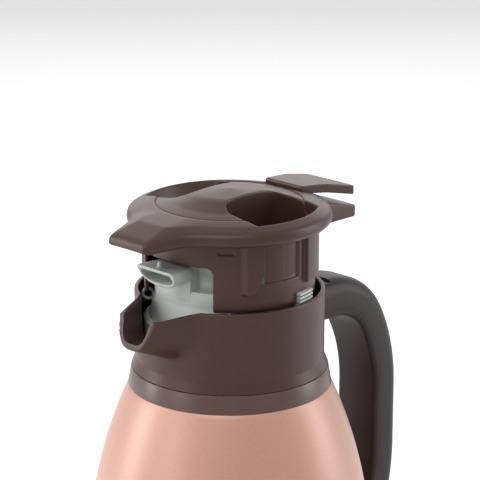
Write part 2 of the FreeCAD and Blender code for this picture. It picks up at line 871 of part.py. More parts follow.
tail = less("tail", shared("tail_shape", [tail_plate, tail_plan]), [
    rod("tail_clearance", collar_radius + d.tail_clear, lid - d.tail_end_bottom * 2, lid),
])


def recess(side, label, grow, low, outer):
    """One finger recess, or with grow its cup: a D bounded by the bar, the two ends and an arc."""
    reach = brim_radius
    span = (d.recess_inner - grow, reach) if side > 0 else (-reach, -d.recess_inner + grow)
    bounds = block(
        label + "_bounds", (-d.recess_front - grow, d.recess_rear + grow), span, (low, dome_top + d.cup_wall))
    return shared(label, [bounds, outer])


finger_floor = lid - d.recess_floor
cup_low = finger_floor - d.cup_wall
flare_z = lid + d.recess_low_level
finger_top = dome_top + d.cup_wall
finger_outer = turned("finger_outer", [
    (0.0, finger_floor),
    (recess_low_radius, finger_floor),
    (recess_low_radius, flare_z),
    (recess_top_radius, crease_z),
    (recess_top_radius, finger_top),
    (0.0, finger_top),
])
deck_middle = crease_z - deck_low + d.deck_thick * 0.5
cup_outer = rod("cup_outer", recess_low_radius + d.cup_wall, cup_low, deck_middle)
fingers = [recess(side, "finger_%s" % name, 0.0, finger_floor, finger_outer)
           for side, name in ((1, "left"), (-1, "right"))]
cups = [recess(side, "cup_%s" % name, d.cup_wall, cup_low, cup_outer)
        for side, name in ((1, "left"), (-1, "right"))]
pin_z = lid + d.pin_height
barrel = d.barrel_radius
ear_in = d.lever_half + d.ear_gap
ear_out = ear_in + d.ear_thick
ears = [block("ear_%s" % name, (pin_x - barrel, pin_x + barrel),
              (ear_in, ear_out) if side > 0 else (-ear_out, -ear_in),
              (pin_z - barrel, deck_middle))
        for side, name in ((1, "left"), (-1, "right"))]
posts = [rod("screw_post_%d" % index, d.screw_post_radius, lid, deck_middle, -screw_post_x, y)
         for index, y in enumerate((screw_post_y, -screw_post_y))]
screw_holes = [rod("lid_screw_hole_%d" % index, d.lid_screw_radius + d.screw_fit,
                   lid - d.screw_tab_thick, lid + d.lid_screw_length - d.screw_tab_thick + d.screw_fit,
                   -screw_post_x, y)
               for index, y in enumerate((screw_post_y, -screw_post_y))]
slot_half = d.lever_half + d.ear_gap
hatch = slab("lever_hatch", "XZ_Plane", [
    (pin_x - barrel - d.slot_gap, pin_z - barrel),
    (pin_x + barrel + d.slot_gap, pin_z - barrel),
    (pin_x + barrel + d.slot_gap, dome_top),
    (pin_x - barrel - d.slot_gap, dome_top),
], slot_half * 2, symmetric=True)
lever_bay = slab("lever_bay", "XZ_Plane", [
    (pin_x + barrel, pin_z - d.slot_gap * 2),
    (brim_radius + d.slot_gap, lid + d.tail_root_top - d.slot_gap),
    (brim_radius + d.slot_gap, dome_top),
    (pin_x + barrel, dome_top),
], (d.lever_half + d.lever_end_half + d.slot_gap * 2), symmetric=True)
pin_hole = cross_rod("pin_hole", d.pin_radius + d.pin_fit, ear_out, pin_x, pin_z)
lid_solid = fused("lid_solid", [brim, visor, tail] + cups + ears + posts)
node(less("lid_cover_piece", lid_solid, fingers + screw_holes + [hatch, lever_bay, pin_hole]), "lid_cover")

# Grip plate: domed insert whose bar is pinched between the two finger recesses
plate_edge = crease_radius - d.plate_fit
dome = turned("dome", [
    (0.0, dome_top - d.plate_thick),
    DOME,
    (plate_edge, crease_z - d.plate_thick),
    (plate_edge, crease_z),
    DOME,
    (0.0, dome_top),
])
node(less("grip_plate_piece", dome, fingers), "grip_plate")

# Lever pin: steel pin held in the cover's two ears
node(cross_rod("lever_pin", d.pin_radius, ear_out, pin_x, pin_z), "lever_pin")

# Lever: thumb plate, barrel on the pin, and an arm that forks round the valve stem
thumb_side = slab("thumb_side", "XZ_Plane", [
    (pin_x, pin_z + d.pin_radius),
    (lever_front_x, pin_z + barrel),
    (lever_front_x, lid + d.lever_front_top),
    (lever_mid_x, lid + d.lever_mid_top),
    (tail_end_x, lid + d.lever_end_top),
    (tail_end_x, lid + d.lever_end_top - d.lever_thick),
    (lever_mid_x, lid + d.lever_mid_top - d.lever_thick),
    (lever_front_x + d.lever_thick, lid + d.lever_front_top - d.lever_thick),
    (pin_x + barrel, pin_z),
    (pin_x, pin_z - d.pin_radius),
], d.lever_end_half * 2, symmetric=True)
thumb_plan = slab("thumb_plan", "XY_Plane", [
    (pin_x - barrel, -d.lever_half),
    (lever_front_x, -d.lever_half),
    (tail_end_x - d.end_bow, -d.lever_end_half),
    (tail_end_x, 0.0, ARC),
    (tail_end_x - d.end_bow, d.lever_end_half),
    (lever_front_x, d.lever_half),
    (pin_x - barrel, d.lever_half),
], d.dome_height * 2, lid - d.dome_height)
arm_top = lid - d.stem_head_level - d.fork_gap
lever_arm = slab("lever_arm", "XZ_Plane", [
    (-d.arm_tip, arm_top - d.arm_thick),
    (d.stem_head_radius + d.fork_side, arm_top - d.arm_thick),
    (pin_x, pin_z - barrel),
    (pin_x, pin_z + d.pin_radius),
    (d.stem_head_radius + d.fork_side, arm_top),
    (-d.arm_tip, arm_top),
], d.arm_half * 2, symmetric=True)
fork_half = d.stem_radius + d.fork_side
fork = block("fork_slot", (-d.arm_tip - d.fork_side, fork_half), (-fork_half, fork_half),
             (arm_top - d.arm_thick * 2, arm_top + d.arm_thick))
thumb = shared("thumb", [thumb_side, thumb_plan])
lever_barrel = cross_rod("lever_barrel", barrel, d.lever_half, pin_x, pin_z)
lever_bore = cross_rod("lever_bore", d.pin_radius + d.pin_fit, d.lever_half * 2, pin_x, pin_z)
lever_solid = fused("lever_solid", [thumb, lever_barrel, lever_arm])
node(less("lever_piece", lever_solid, [fork, lever_bore]), "lever")

# Stopper housing: skirt under the lid, with guide ribs, a pouring window and screw tabs
housing_low = lid - d.housing_length
skirt = rod("skirt", housing_radius, housing_low, lid)


def both_sides(label, radius, low, high, start, span):
    """A sector at an angle from +X on the +Y side, and its mirror image on the other side."""
    return [rod(label + "_left", radius, low, high, start=start, span=span),
            rod(label + "_right", radius, low, high, start=-start - span, span=span)]


ribs = both_sides("front_rib", rib_radius, lid - d.rib_length, lid, d.front_rib_angle, d.front_rib_span)
ribs += both_sides("rear_rib", rib_radius, lid - d.rib_length, lid, d.rear_rib_angle, d.rear_rib_span)
housing_core = rod("housing_core", housing_bore, housing_low, lid)
window = rod("pour_window", brim_radius, housing_low, lid - d.window_top,
             start=-d.window_half_angle + HALF_TURN, span=d.window_half_angle * 2)
vent_top = lid - d.vent_drop
vents = both_sides("vent", rib_radius, vent_top - d.vent_height, vent_top, d.vent_angle, d.vent_span)
tabs = [rod("screw_tab_%d" % index, d.screw_tab_radius, lid - d.screw_tab_thick, lid, -screw_post_x, y)
        for index, y in enumerate((screw_post_y, -screw_post_y))]
hollow_skirt = less("hollow_skirt", fused("ribbed_skirt", [skirt] + ribs), [housing_core, window] + vents)
housing_solid = fused("housing_solid", [hollow_skirt] + tabs)
node(less("stopper_housing_piece", housing_solid, screw_holes), "stopper_housing")

# Lid screws: two screws up through the housing's tabs into the cover's posts
tab_low = lid - d.screw_tab_thick
lid_screws = doc.addObject("Part::Compound", "lid_screws")
lid_screws.Links = [
    fused("lid_screw_%d" % index, [
        rod("lid_screw_head_%d" % index, d.lid_screw_radius * 2, tab_low - d.screw_head, tab_low,
            -screw_post_x, y),
        rod("lid_screw_shank_%d" % index, d.lid_screw_radius, tab_low, tab_low + d.lid_screw_length,
            -screw_post_x, y),
    ])
    for index, y in enumerate((screw_post_y, -screw_post_y))
]
node(lid_screws, "lid_screws")

# Stopper base: lower cap with the inlet, its raised valve seat and two lugs that guide it in the collar
base_z = lid - d.base_level
base_low = base_z - d.base_flange_height
chamber_floor = base_z - d.base_recess
barrel_inner = chamber_radius + d.base_fit
seat_outer = d.inlet_radius + d.seat_width
base_dish = turned("base_dish", [
    (d.inlet_radius, base_low),
    (base_flange_radius - d.base_flange_chamfer, base_low),
    (base_flange_radius, base_low + d.base_flange_chamfer),
    (base_flange_radius, base_z),
    (base_barrel_radius, base_z),
    (base_barrel_radius, lid - d.base_barrel_top),
    (barrel_inner, lid - d.base_barrel_top),
    (barrel_inner, chamber_floor),
    (seat_outer, chamber_floor),
    (seat_outer, base_z),
    (d.inlet_radius, base_z),
])
lug_top = housing_low - d.lug_fit
lug_low = lug_top - d.lug_height
lug_core = rod("lug_core", (barrel_inner + base_barrel_radius) * 0.5, lug_low, lug_top)
lugs = [less("guide_lug_%d" % index, sector, [lug_core])
        for index, sector in enumerate(
            both_sides("lug_sector", lug_radius, lug_low, lug_top, d.lug_angle, d.lug_span))]
node(fused("stopper_base_piece", [base_dish] + lugs), "stopper_base")

# Stopper gasket: silicone ring with three lips that wipe the bottle's neck
gasket_in = base_barrel_radius + d.gasket_fit
gasket_root = gasket_radius - d.gasket_rib
gasket_top = base_z + d.gasket_height
lips = []
for step in range(1, 2 * GASKET_LIPS):
    level = base_z + d.gasket_height * (step / (2 * GASKET_LIPS))
    lips.append((gasket_radius if step % 2 else gasket_root, level))
node(turned("stopper_gasket", [
    (gasket_in, base_z),
    (gasket_root, base_z),
] + lips + [
    (gasket_root, gasket_top),
    (gasket_in, gasket_top),
]), "stopper_gasket")

# Pour nozzle: chamber over the valve, with the D-shaped outlet that looks into the spout
roof_z = lid - d.chamber_roof
roof_low = roof_z - d.chamber_wall
stem_hole = d.stem_radius + d.stem_fit
chamber = turned("chamber", [
    (chamber_radius, chamber_floor),
    (chamber_radius, roof_z),
    (stem_hole, roof_z),
    (stem_hole, roof_low),
    (chamber_radius - d.chamber_wall, roof_low),
    (chamber_radius - d.chamber_wall, chamber_floor),
])
nozzle_z = lid - d.nozzle_top


def outlet(label, half, top, bottom, start, finish):
    """A D-shaped tube or passage along X, flat on top."""
    return slab(label, "YZ_Plane", [
        (-half, top),
        (half, top),
        (0.0, bottom, ARC),
    ], finish - start, -finish)


nozzle_low = nozzle_z - d.nozzle_depth
nozzle_bar = outlet("nozzle_bar", d.nozzle_half, nozzle_z, nozzle_low,
                    chamber_radius - d.chamber_wall * 2, nozzle_end_x)
passage = outlet("nozzle_passage", d.nozzle_half - d.nozzle_wall, nozzle_z - d.nozzle_wall,
                 nozzle_low + d.nozzle_wall,
                 chamber_radius - d.chamber_wall * 4, nozzle_end_x + d.nozzle_wall)
nozzle_face = slab("nozzle_face", "XZ_Plane", [
    (-nozzle_end_x, nozzle_z),
    (-nozzle_low_x, nozzle_low),
    (-nozzle_low_x, nozzle_low - d.nozzle_wall),
    (-nozzle_end_x - d.nozzle_wall, nozzle_low - d.nozzle_wall),
    (-nozzle_end_x - d.nozzle_wall, nozzle_z),
], d.nozzle_half * 3, symmetric=True)
nozzle_inside = rod("chamber_inside", chamber_radius - d.chamber_wall * 0.5, chamber_floor, roof_low)
nozzle_tube = less("nozzle_tube", nozzle_bar, [nozzle_inside])
node(less("pour_nozzle_piece", fused("nozzle_solid", [chamber, nozzle_tube]), [passage, nozzle_face]),
     "pour_nozzle")

# Stem seal: packing ring on the chamber's roof, round the valve stem
node(turned("stem_seal", [
    (stem_hole, roof_z),
    (d.stem_seal_radius, roof_z),
    (d.stem_seal_radius, roof_z + d.stem_seal_height),
    (stem_hole, roof_z + d.stem_seal_height),
]), "stem_seal")

# Valve seal, disc and stem: the stem is drawn up by the lever's fork and lifts the disc
washer_low = base_z + d.valve_gap
washer_top = washer_low + d.washer_thick
disc_top = washer_top + d.disc_thick
flange_top = disc_top + d.stem_flange
head_low = lid - d.stem_head_level
eye = d.stem_radius + d.screw_fit
node(turned("valve_seal", [
    (eye, washer_low),
    (d.washer_radius, washer_low),
    (d.washer_radius, washer_top),
    (eye, washer_top),
]), "valve_seal")
node(turned("valve_disc", [
    (eye, washer_top),
    (d.disc_radius, washer_top),
    (d.disc_radius, disc_top),
    (eye, disc_top),
]), "valve_disc")
node(turned("valve_stem", [
    (0.0, washer_low - d.stem_button),
    (d.stem_button_radius, washer_low - d.stem_button),
    (d.stem_button_radius, washer_low),
    (d.stem_radius, washer_low),
    (d.stem_radius, disc_top),
    (d.stem_flange_radius, disc_top),
    (d.stem_flange_radius, flange_top),
    (d.stem_radius, flange_top),
    (d.stem_radius, head_low),
    (d.stem_head_radius, head_low),
    (d.stem_head_radius, head_low + d.stem_head),
    (0.0, head_low + d.stem_head),
]), "valve_stem")

# Valve spring: pushes the valve down on its seat, inside the chamber
node(turned("valve_spring", [
    (d.spring_inner, flange_top),
    (d.spring_outer, flange_top),
    (d.spring_outer, roof_low),
    (d.spring_inner, roof_low),
]), "valve_spring")

doc.recompute()
faults = []
for item in doc.Objects:
    if "Invalid" in item.State or "Error" in item.State:
        faults.append("%s: %s" % (item.Label, item.State))
for name, item in nodes.items():
    if item.Shape.isNull() or not item.Shape.isValid():
        faults.append("%s: no valid shape" % name)
if faults:
    raise RuntimeError("; ".join(faults))

os.makedirs("parts", exist_ok=True)
for name, item in nodes.items():
    item.Shape.exportStep("parts/%s.step" % name)
    print("%-18s solids %d  volume %.0f" % (name, len(item.Shape.Solids), item.Shape.Volume))
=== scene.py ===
import math

import bpy
from mathutils import Matrix, Vector


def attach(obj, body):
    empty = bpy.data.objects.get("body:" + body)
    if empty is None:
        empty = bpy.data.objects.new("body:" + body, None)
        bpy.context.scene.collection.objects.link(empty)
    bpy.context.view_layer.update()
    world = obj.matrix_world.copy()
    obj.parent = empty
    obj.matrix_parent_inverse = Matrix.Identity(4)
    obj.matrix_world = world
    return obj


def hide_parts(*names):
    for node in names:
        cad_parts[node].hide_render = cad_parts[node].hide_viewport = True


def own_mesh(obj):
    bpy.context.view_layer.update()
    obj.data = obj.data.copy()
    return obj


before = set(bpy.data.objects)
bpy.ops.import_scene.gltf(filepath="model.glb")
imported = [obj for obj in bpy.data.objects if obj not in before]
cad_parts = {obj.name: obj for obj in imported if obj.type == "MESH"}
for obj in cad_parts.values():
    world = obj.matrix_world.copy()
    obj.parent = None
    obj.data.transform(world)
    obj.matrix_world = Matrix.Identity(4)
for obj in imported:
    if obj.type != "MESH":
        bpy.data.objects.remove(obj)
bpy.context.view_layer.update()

# Foot pad
# Soft dark silicone disc that the carafe stands on, turned from half of its outline and glued
# into the base cap. The helpers for drawing, turning and colouring a piece begin here.
MM = 0.001
FULL_TURN = 2 * math.pi
SHARP = math.radians(38)
GRAIN_SIZE = 0.4
FOOT_RADIUS = 58.0
FOOT_TOP = 3.5


def linear(colour):
    """Linear RGBA of a hex sRGB colour."""
    values = [int(colour[i:i + 2], 16) / 255 for i in (1, 3, 5)]
    return [v / 12.92 if v <= 0.04045 else ((v + 0.055) / 1.055) ** 2.4 for v in values] + [1.0]


def add_node(tree, kind, **inputs):
    """Adds a shader node and sets the inputs that are named."""
    made = tree.nodes.new(kind)
    for name, value in inputs.items():
        made.inputs[name.replace("_", " ")].default_value = value
    return made


def moulded_look(name, colour, roughness, shine=0.5, grain=0.003):
    """Moulded surface; shine is its specular level and grain the depth in mm of its fine texture."""
    made = bpy.data.materials.new(name)
    made.use_nodes = True
    tree = made.node_tree
    shader = tree.nodes["Principled BSDF"]
    shader.inputs["Base Color"].default_value = linear(colour)
    shader.inputs["Roughness"].default_value = roughness
    shader.inputs["Specular IOR Level"].default_value = shine
    place = add_node(tree, "ShaderNodeTexCoord")
    noise = add_node(tree, "ShaderNodeTexNoise", Scale=1 / (GRAIN_SIZE * MM), Detail=2.0)
    bump = add_node(tree, "ShaderNodeBump", Strength=0.6, Distance=grain * MM)
    tree.links.new(place.outputs["Object"], noise.inputs["Vector"])
    tree.links.new(noise.outputs["Fac"], bump.inputs["Height"])
    tree.links.new(bump.outputs["Normal"], shader.inputs["Normal"])
    return made


def eased(corners, loop=False, steps=5):
    """Points of an outline in mm; a corner's third value is the radius that rounds it."""
    points = []
    for i, corner in enumerate(corners):
        here = Vector(corner[:2])
        if len(corner) < 3:
            points.append(here)
            continue
        back = (Vector(corners[i - 1][:2]) - here).normalized()
        on = (Vector(corners[(i + 1) % len(corners)][:2]) - here).normalized()
        half = back.angle(on) / 2
        centre = here + (back + on).normalized() * corner[2] / math.sin(half)
        start = here + back * corner[2] / math.tan(half) - centre
        swing = start.angle_signed(here + on * corner[2] / math.tan(half) - centre)
        for k in range(steps + 1):
            points.append(centre + Matrix.Rotation(-swing * k / steps, 2) @ start)
    return points + points[:1] if loop else points


def drawn(name, points):
    """Wire through points in mm, left in edit mode; one vertex is extruded from point to point."""
    bpy.ops.object.select_all(action="DESELECT")
    bpy.ops.mesh.primitive_plane_add(size=MM)
    piece = bpy.context.object
    piece.name = piece.data.name = name
    bpy.ops.object.mode_set(mode="EDIT")
    bpy.ops.mesh.merge(type="CENTER")
    bpy.ops.transform.translate(value=Vector(points[0]) * MM)
    for here, there in zip(points, points[1:]):
        step = (Vector(there) - Vector(here)) * MM
        bpy.ops.mesh.extrude_region_move(TRANSFORM_OT_translate={"value": step})
    return piece


def closed_up(piece):
    """Merges the seams of the mesh being edited, turns its faces outwards and leaves edit mode."""
    bpy.ops.mesh.select_all(action="SELECT")
    bpy.ops.mesh.remove_doubles(threshold=0.01 * MM)
    bpy.ops.mesh.normals_make_consistent(inside=False)
    bpy.ops.object.mode_set(mode="OBJECT")
    bpy.ops.object.shade_smooth_by_angle(angle=SHARP)
    return piece


def turned(name, corners, steps=180):
    """Turns an outline of (radius, height) corners about the carafe's axis."""
    piece = drawn(name, [(r, 0, z) for r, z in eased(corners)])
    bpy.ops.mesh.select_all(action="SELECT")
    bpy.ops.mesh.spin(steps=steps, angle=FULL_TURN, center=(0, 0, 0), axis=(0, 0, 1))
    return closed_up(piece)


def fitted(piece, body, slot, look, *nodes):
    """Gives a piece its look and puts it on a body in place of the CAD nodes."""
    piece.data.materials.clear()
    piece.data.materials.append(look)
    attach(piece, body)
    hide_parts(*nodes)


def dressed(look, *nodes):
    """Gives CAD nodes that stay as they are a look."""
    for name in nodes:
        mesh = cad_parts[name].data
        mesh.materials.clear()
        mesh.materials.append(look)


foot_rubber = moulded_look("foot_silicone", "#2e2623", 0.75, grain=0.012)
foot_pad = turned("foot_pad_turned", [(0, 0), (FOOT_RADIUS, 0, 0.8), (FOOT_RADIUS, FOOT_TOP), (0, FOOT_TOP)])
fitted(foot_pad, "carafe", "foot_silicone", foot_rubber, "foot_pad")

# Base cap
# Brown moulded dish that closes the bottle's foot, turned, with a chamfered lower edge.
BASE_LOW = 2.0
BASE_TOP = 11.7
BASE_RADIUS = 66.0
BASE_BORE = 64.0
BASE_FLOOR = 5.5
PAD_HOLE = FOOT_RADIUS + 0.2
brown = moulded_look("brown_plastic", "#452c26", 0.38, shine=0.32, grain=0.006)
base_cap = turned("base_cap_turned", [
    (PAD_HOLE, FOOT_TOP), (PAD_HOLE, BASE_LOW, 0.4), (BASE_BORE, BASE_LOW, 0.8), (BASE_RADIUS, 4, 0.8),
    (BASE_RADIUS, BASE_TOP, 0.5), (BASE_BORE, BASE_TOP), (BASE_BORE, BASE_FLOOR), (0, BASE_FLOOR),
    (0, FOOT_TOP), (PAD_HOLE, FOOT_TOP)])
fitted(base_cap, "carafe", "brown_plastic", brown, "base_cap")

# Bottom plate, evacuation plug and getter
# Steel disc welded into the shell, the dab that sealed the vacuum and the getter pellet: inside
# the bottle, so the CAD solids stay, in bare metal.
def metal_look(name, colour, roughness):
    """Bare metal with the fine level lines that turning and brushing leave."""
    made = bpy.data.materials.new(name)
    made.use_nodes = True
    tree = made.node_tree
    shader = tree.nodes["Principled BSDF"]
    shader.inputs["Base Color"].default_value = linear(colour)
    shader.inputs["Metallic"].default_value = 1.0
    shader.inputs["Roughness"].default_value = roughness
    place = add_node(tree, "ShaderNodeTexCoord")
    drawn_out = add_node(tree, "ShaderNodeMapping", Scale=(0.05, 0.05, 1))
    lines = add_node(tree, "ShaderNodeTexNoise", Scale=1 / (0.3 * MM), Detail=2.0)
    bump = add_node(tree, "ShaderNodeBump", Strength=0.5, Distance=0.003 * MM)
    tree.links.new(place.outputs["Object"], drawn_out.inputs["Vector"])
    tree.links.new(drawn_out.outputs["Vector"], lines.inputs["Vector"])
    tree.links.new(lines.outputs["Fac"], bump.inputs["Height"])
    tree.links.new(bump.outputs["Normal"], shader.inputs["Normal"])
    return made


steel = metal_look("bare_steel", "#c4c4c2", 0.28)
dressed(steel, "bottom_plate")
dressed(metal_look("solder", "#9a9a9a", 0.5), "evacuation_plug")
dressed(metal_look("getter_metal", "#808080", 0.6), "getter")

# Outer shell
# Steel bottle in rose pearl paint, turned: straight side, shoulder drawn in by one long arc that
# leaves the side upright, and a wall of 0.6 mm.
SHELL_RADIUS = 66.0
SHOULDER_LOW = 70.0
SHOULDER_TOP = 159.6
SHOULDER_TOP_RADIUS = 46.4
SHELL_WALL = 0.6
SHELL_FOOT = 11.8
SHELL_BORE = SHELL_RADIUS - SHELL_WALL
MOUTH_RADIUS = 42.4
MOUTH_TOP = 164.0


def shoulder(radius, low, top_radius, top, steps=40):
    """Arc that leaves (radius, low) upright and ends at (top_radius, top)."""
    inward = radius - top_radius
    rise = top - low
    bend = (inward ** 2 + rise ** 2) / (2 * inward)
    swing = math.asin(rise / bend)
    turns = [swing * k / steps for k in range(steps + 1)]
    return [(radius - bend + bend * math.cos(a), low + bend * math.sin(a)) for a in turns]


def pearl_paint(name, colour, fleck_colour):
    """Satin paint with a fine metallic fleck under a thin clear coat."""
    made = bpy.data.materials.new(name)
    made.use_nodes = True
    tree = made.node_tree
    shader = tree.nodes["Principled BSDF"]
    place = add_node(tree, "ShaderNodeTexCoord")
    fleck = add_node(tree, "ShaderNodeTexNoise", Scale=1 / (0.5 * MM), Detail=3.0)
    ramp = add_node(tree, "ShaderNodeValToRGB")
    ramp.color_ramp.elements[0].color = linear(colour)
    ramp.color_ramp.elements[1].color = linear(fleck_colour)
    ramp.color_ramp.elements[0].position = 0.35
    ramp.color_ramp.elements[1].position = 0.75
    tree.links.new(place.outputs["Object"], fleck.inputs["Vector"])
    tree.links.new(fleck.outputs["Fac"], ramp.inputs["Fac"])
    tree.links.new(ramp.outputs["Color"], shader.inputs["Base Color"])
    shader.inputs["Metallic"].default_value = 0.1
    shader.inputs["Roughness"].default_value = 0.4
    shader.inputs["Coat Weight"].default_value = 0.5
    shader.inputs["Coat Roughness"].default_value = 0.38
    return made


rose = pearl_paint("rose_paint", "#c38e7a", "#cb9985")
outside = shoulder(SHELL_RADIUS, SHOULDER_LOW, SHOULDER_TOP_RADIUS, SHOULDER_TOP)
inside = shoulder(SHELL_BORE, SHOULDER_LOW, SHOULDER_TOP_RADIUS - SHELL_WALL, SHOULDER_TOP)
mouth = [(SHOULDER_TOP_RADIUS - SHELL_WALL, SHOULDER_TOP + 0.5), (MOUTH_RADIUS, MOUTH_TOP),
         (MOUTH_RADIUS - 0.4, MOUTH_TOP - 0.4)]
outer_shell = turned("outer_shell_turned", [(SHELL_BORE, SHELL_FOOT), (SHELL_RADIUS, SHELL_FOOT)] + outside
                     + mouth + inside[::-1] + [(SHELL_BORE, SHELL_FOOT)])
fitted(outer_shell, "carafe", "rose_paint", rose, "outer_shell")

# Liner and neck seal
# Bare steel liner in three pieces, and the pale silicone ring squeezed between the bottle's mouth and
# the collar: hidden, so the CAD solids stay.
pale_silicone = moulded_look("pale_silicone", "#dcdcd6", 0.55)
dressed(steel, "inner_neck", "inner_bottle", "inner_base")
dressed(pale_silicone, "neck_seal")

# Collar band
# Lighter moulded trim ring clipped over the collar's foot, turned, with eased edges.
band_look = moulded_look("band_plastic", "#533b35", 0.32, grain=0.004)
BAND_TOP = 168.2
BAND_TOP_RADIUS = 44.9
BAND_BORE = 44.0
collar_band = turned("collar_band_turned", [
    (BAND_BORE, SHOULDER_TOP), (SHOULDER_TOP_RADIUS, SHOULDER_TOP, 0.4), (BAND_TOP_RADIUS, BAND_TOP, 0.3),
    (BAND_BORE, BAND_TOP), (BAND_BORE, SHOULDER_TOP)], steps=240)
fitted(collar_band, "carafe", "band_plastic", band_look, "collar_band")

# Collar
# Brown moulded collar: a turned wall whose front is drawn out into the spout by moving the wall's
# vertices, with a leaning lip, hollow flanks and a softly blended belly.
RIM = 205.0
COLLAR_RADIUS = 43.0
COLLAR_BORE = 41.0
COLLAR_FOOT = 173.0
COLLAR_LOW = 160.0
BAND_SEAT = 43.9
MOUTH_SEAT = 42.6
MOUTH_SEAT_TOP = 166.2
RIM_ROUND = 0.9
SPOUT_SPREAD = math.radians(54)
SPOUT_ROOT = 40.0
SPOUT_TIP = 61.0
SPOUT_TIP_DEPTH = 16.1
SPOUT_OUTSIDE = (18.3, 9.5, 24.5, SPOUT_TIP_DEPTH, 2.7)
SPOUT_INSIDE = (16.1, 6.4, 22.8, 13.0, 4.0)
LIP_END = 61.3
LIP_TOP_DROP = 2.0
LIP_LEAN = 0.335
LIP_ROUND = 0.6
RIM_FALL_START = 38.0
RIM_FALL_LENGTH = 18.0
SPOUT_BLEND = 3.0


def least(a, b, soft):
    """Smaller of two lengths, rounded over where they are nearly equal."""
    near = max(soft - abs(a - b), 0) / soft
    return min(a, b) - near * near * soft / 4


def most(a, b, soft):
    """Larger of two lengths, filled in where they are nearly equal."""
    return -least(-a, -b, soft)


def spout_channel(angle, height, shape):
    """Distance from the axis, at an angle from the spout and a height, of the spout's surface.

    Its section is half of a squared oval. The shape is the oval's half width at the root and the tip,
    its depth at the root and the tip, and how square it is.
    """
    root_half, tip_half, root_depth, tip_depth, square = shape
    near, far = 20.0, 90.0
    for _ in range(18):
        reach = (near + far) / 2
        along = (reach * math.cos(angle) - SPOUT_ROOT) / (SPOUT_TIP - SPOUT_ROOT)
        half = max(root_half + (tip_half - root_half) * along, 0.1)
        depth = max(root_depth + (tip_depth - root_depth) * along, 0.1)
        across = reach * math.sin(angle) / half
        down = max(RIM - height, 0) / depth
        if across ** square + down ** square < 1:
            near = reach
        else:
            far = reach
    return near


def lip_plane(angle, height):
    """Distance from the axis of the leaning end of the spout."""
    return (LIP_END - (height - RIM + SPOUT_TIP_DEPTH) * LIP_LEAN) / math.cos(angle)


def rim_height(angle):
    """Height of the rim: level round the collar, falling along the spout and cut down at the lip."""
    along = spout_channel(angle, RIM, SPOUT_OUTSIDE) * math.cos(angle)
    top = RIM - LIP_TOP_DROP * min(max((along - RIM_FALL_START) / RIM_FALL_LENGTH, 0), 1)
    low = RIM - SPOUT_TIP_DEPTH
    if spout_channel(angle, top, SPOUT_INSIDE) < lip_plane(angle, top):
        return top
    for _ in range(24):
        middle = (low + top) / 2
        if spout_channel(angle, middle, SPOUT_INSIDE) < lip_plane(angle, middle):
            low = middle
        else:
            top = middle
    return low


WALL_ROWS = 60
heights = [COLLAR_FOOT + (RIM - RIM_ROUND - COLLAR_FOOT) * k / WALL_ROWS for k in range(WALL_ROWS + 1)]
collar_outline = [(BAND_SEAT, COLLAR_LOW), (BAND_SEAT, BAND_TOP + 0.1), (44.8, BAND_TOP + 0.1, 0.3)]
collar_outline += [(COLLAR_RADIUS, z) for z in heights]
collar_outline += [(COLLAR_RADIUS, RIM, RIM_ROUND), (COLLAR_BORE, RIM, RIM_ROUND)]
collar_outline += [(COLLAR_BORE, z) for z in reversed(heights)]
collar_outline += [(COLLAR_BORE, MOUTH_SEAT_TOP), (MOUTH_SEAT, MOUTH_SEAT_TOP), (MOUTH_SEAT, COLLAR_LOW),
                   (BAND_SEAT, COLLAR_LOW)]
collar = turned("collar_moulded", collar_outline, steps=360)
for vertex in collar.data.vertices:
    x, y, z = vertex.co / MM
    angle = math.atan2(abs(y), -x)
    if angle > SPOUT_SPREAD or z < COLLAR_FOOT:
        continue
    radius = math.hypot(x, y)
    drop = RIM - rim_height(angle)
    z -= drop * (z - COLLAR_FOOT) / (RIM - COLLAR_FOOT)
    lip = lip_plane(angle, z)
    outer = most(COLLAR_RADIUS, least(spout_channel(angle, z, SPOUT_OUTSIDE), lip, LIP_ROUND), SPOUT_BLEND)
    inner = most(COLLAR_BORE, min(spout_channel(angle, z, SPOUT_INSIDE), lip), SPOUT_BLEND)
    share = (radius - COLLAR_BORE) / (COLLAR_RADIUS - COLLAR_BORE)
    reach = inner + (outer - inner) * share
    vertex.co = Vector((x * reach / radius, y * reach / radius, z)) * MM
fitted(collar, "carafe", "brown_plastic", brown, "collar")

# Handle shell and cover
# Dark moulded channel and the strip that closes its inner side, each swept along the handle's
# route of straights and arcs, with a seam between them; the ends fit the collar and the bottle.
handle_look = moulded_look("handle_plastic", "#261b17", 0.42, shine=0.25, grain=0.006)
HANDLE_HALF = 12.5
HANDLE_OUT = 9.0
HANDLE_SEAM = -5.0
HANDLE_GAP = 0.05
ARM_START = 40.0
ARM_LEVEL = 187.4
ARM_LENGTH = 20.0
UPPER_BENDS = (((60, 157.43), 60, 24), ((21, 134.92), 30, 24))
GRIP_LENGTH = 29.92
LOWER_BENDS = (((-14, 105), 20.58, 20), ((74, 71.95), 69.42, 20))
FOOT_LENGTH = 14.0


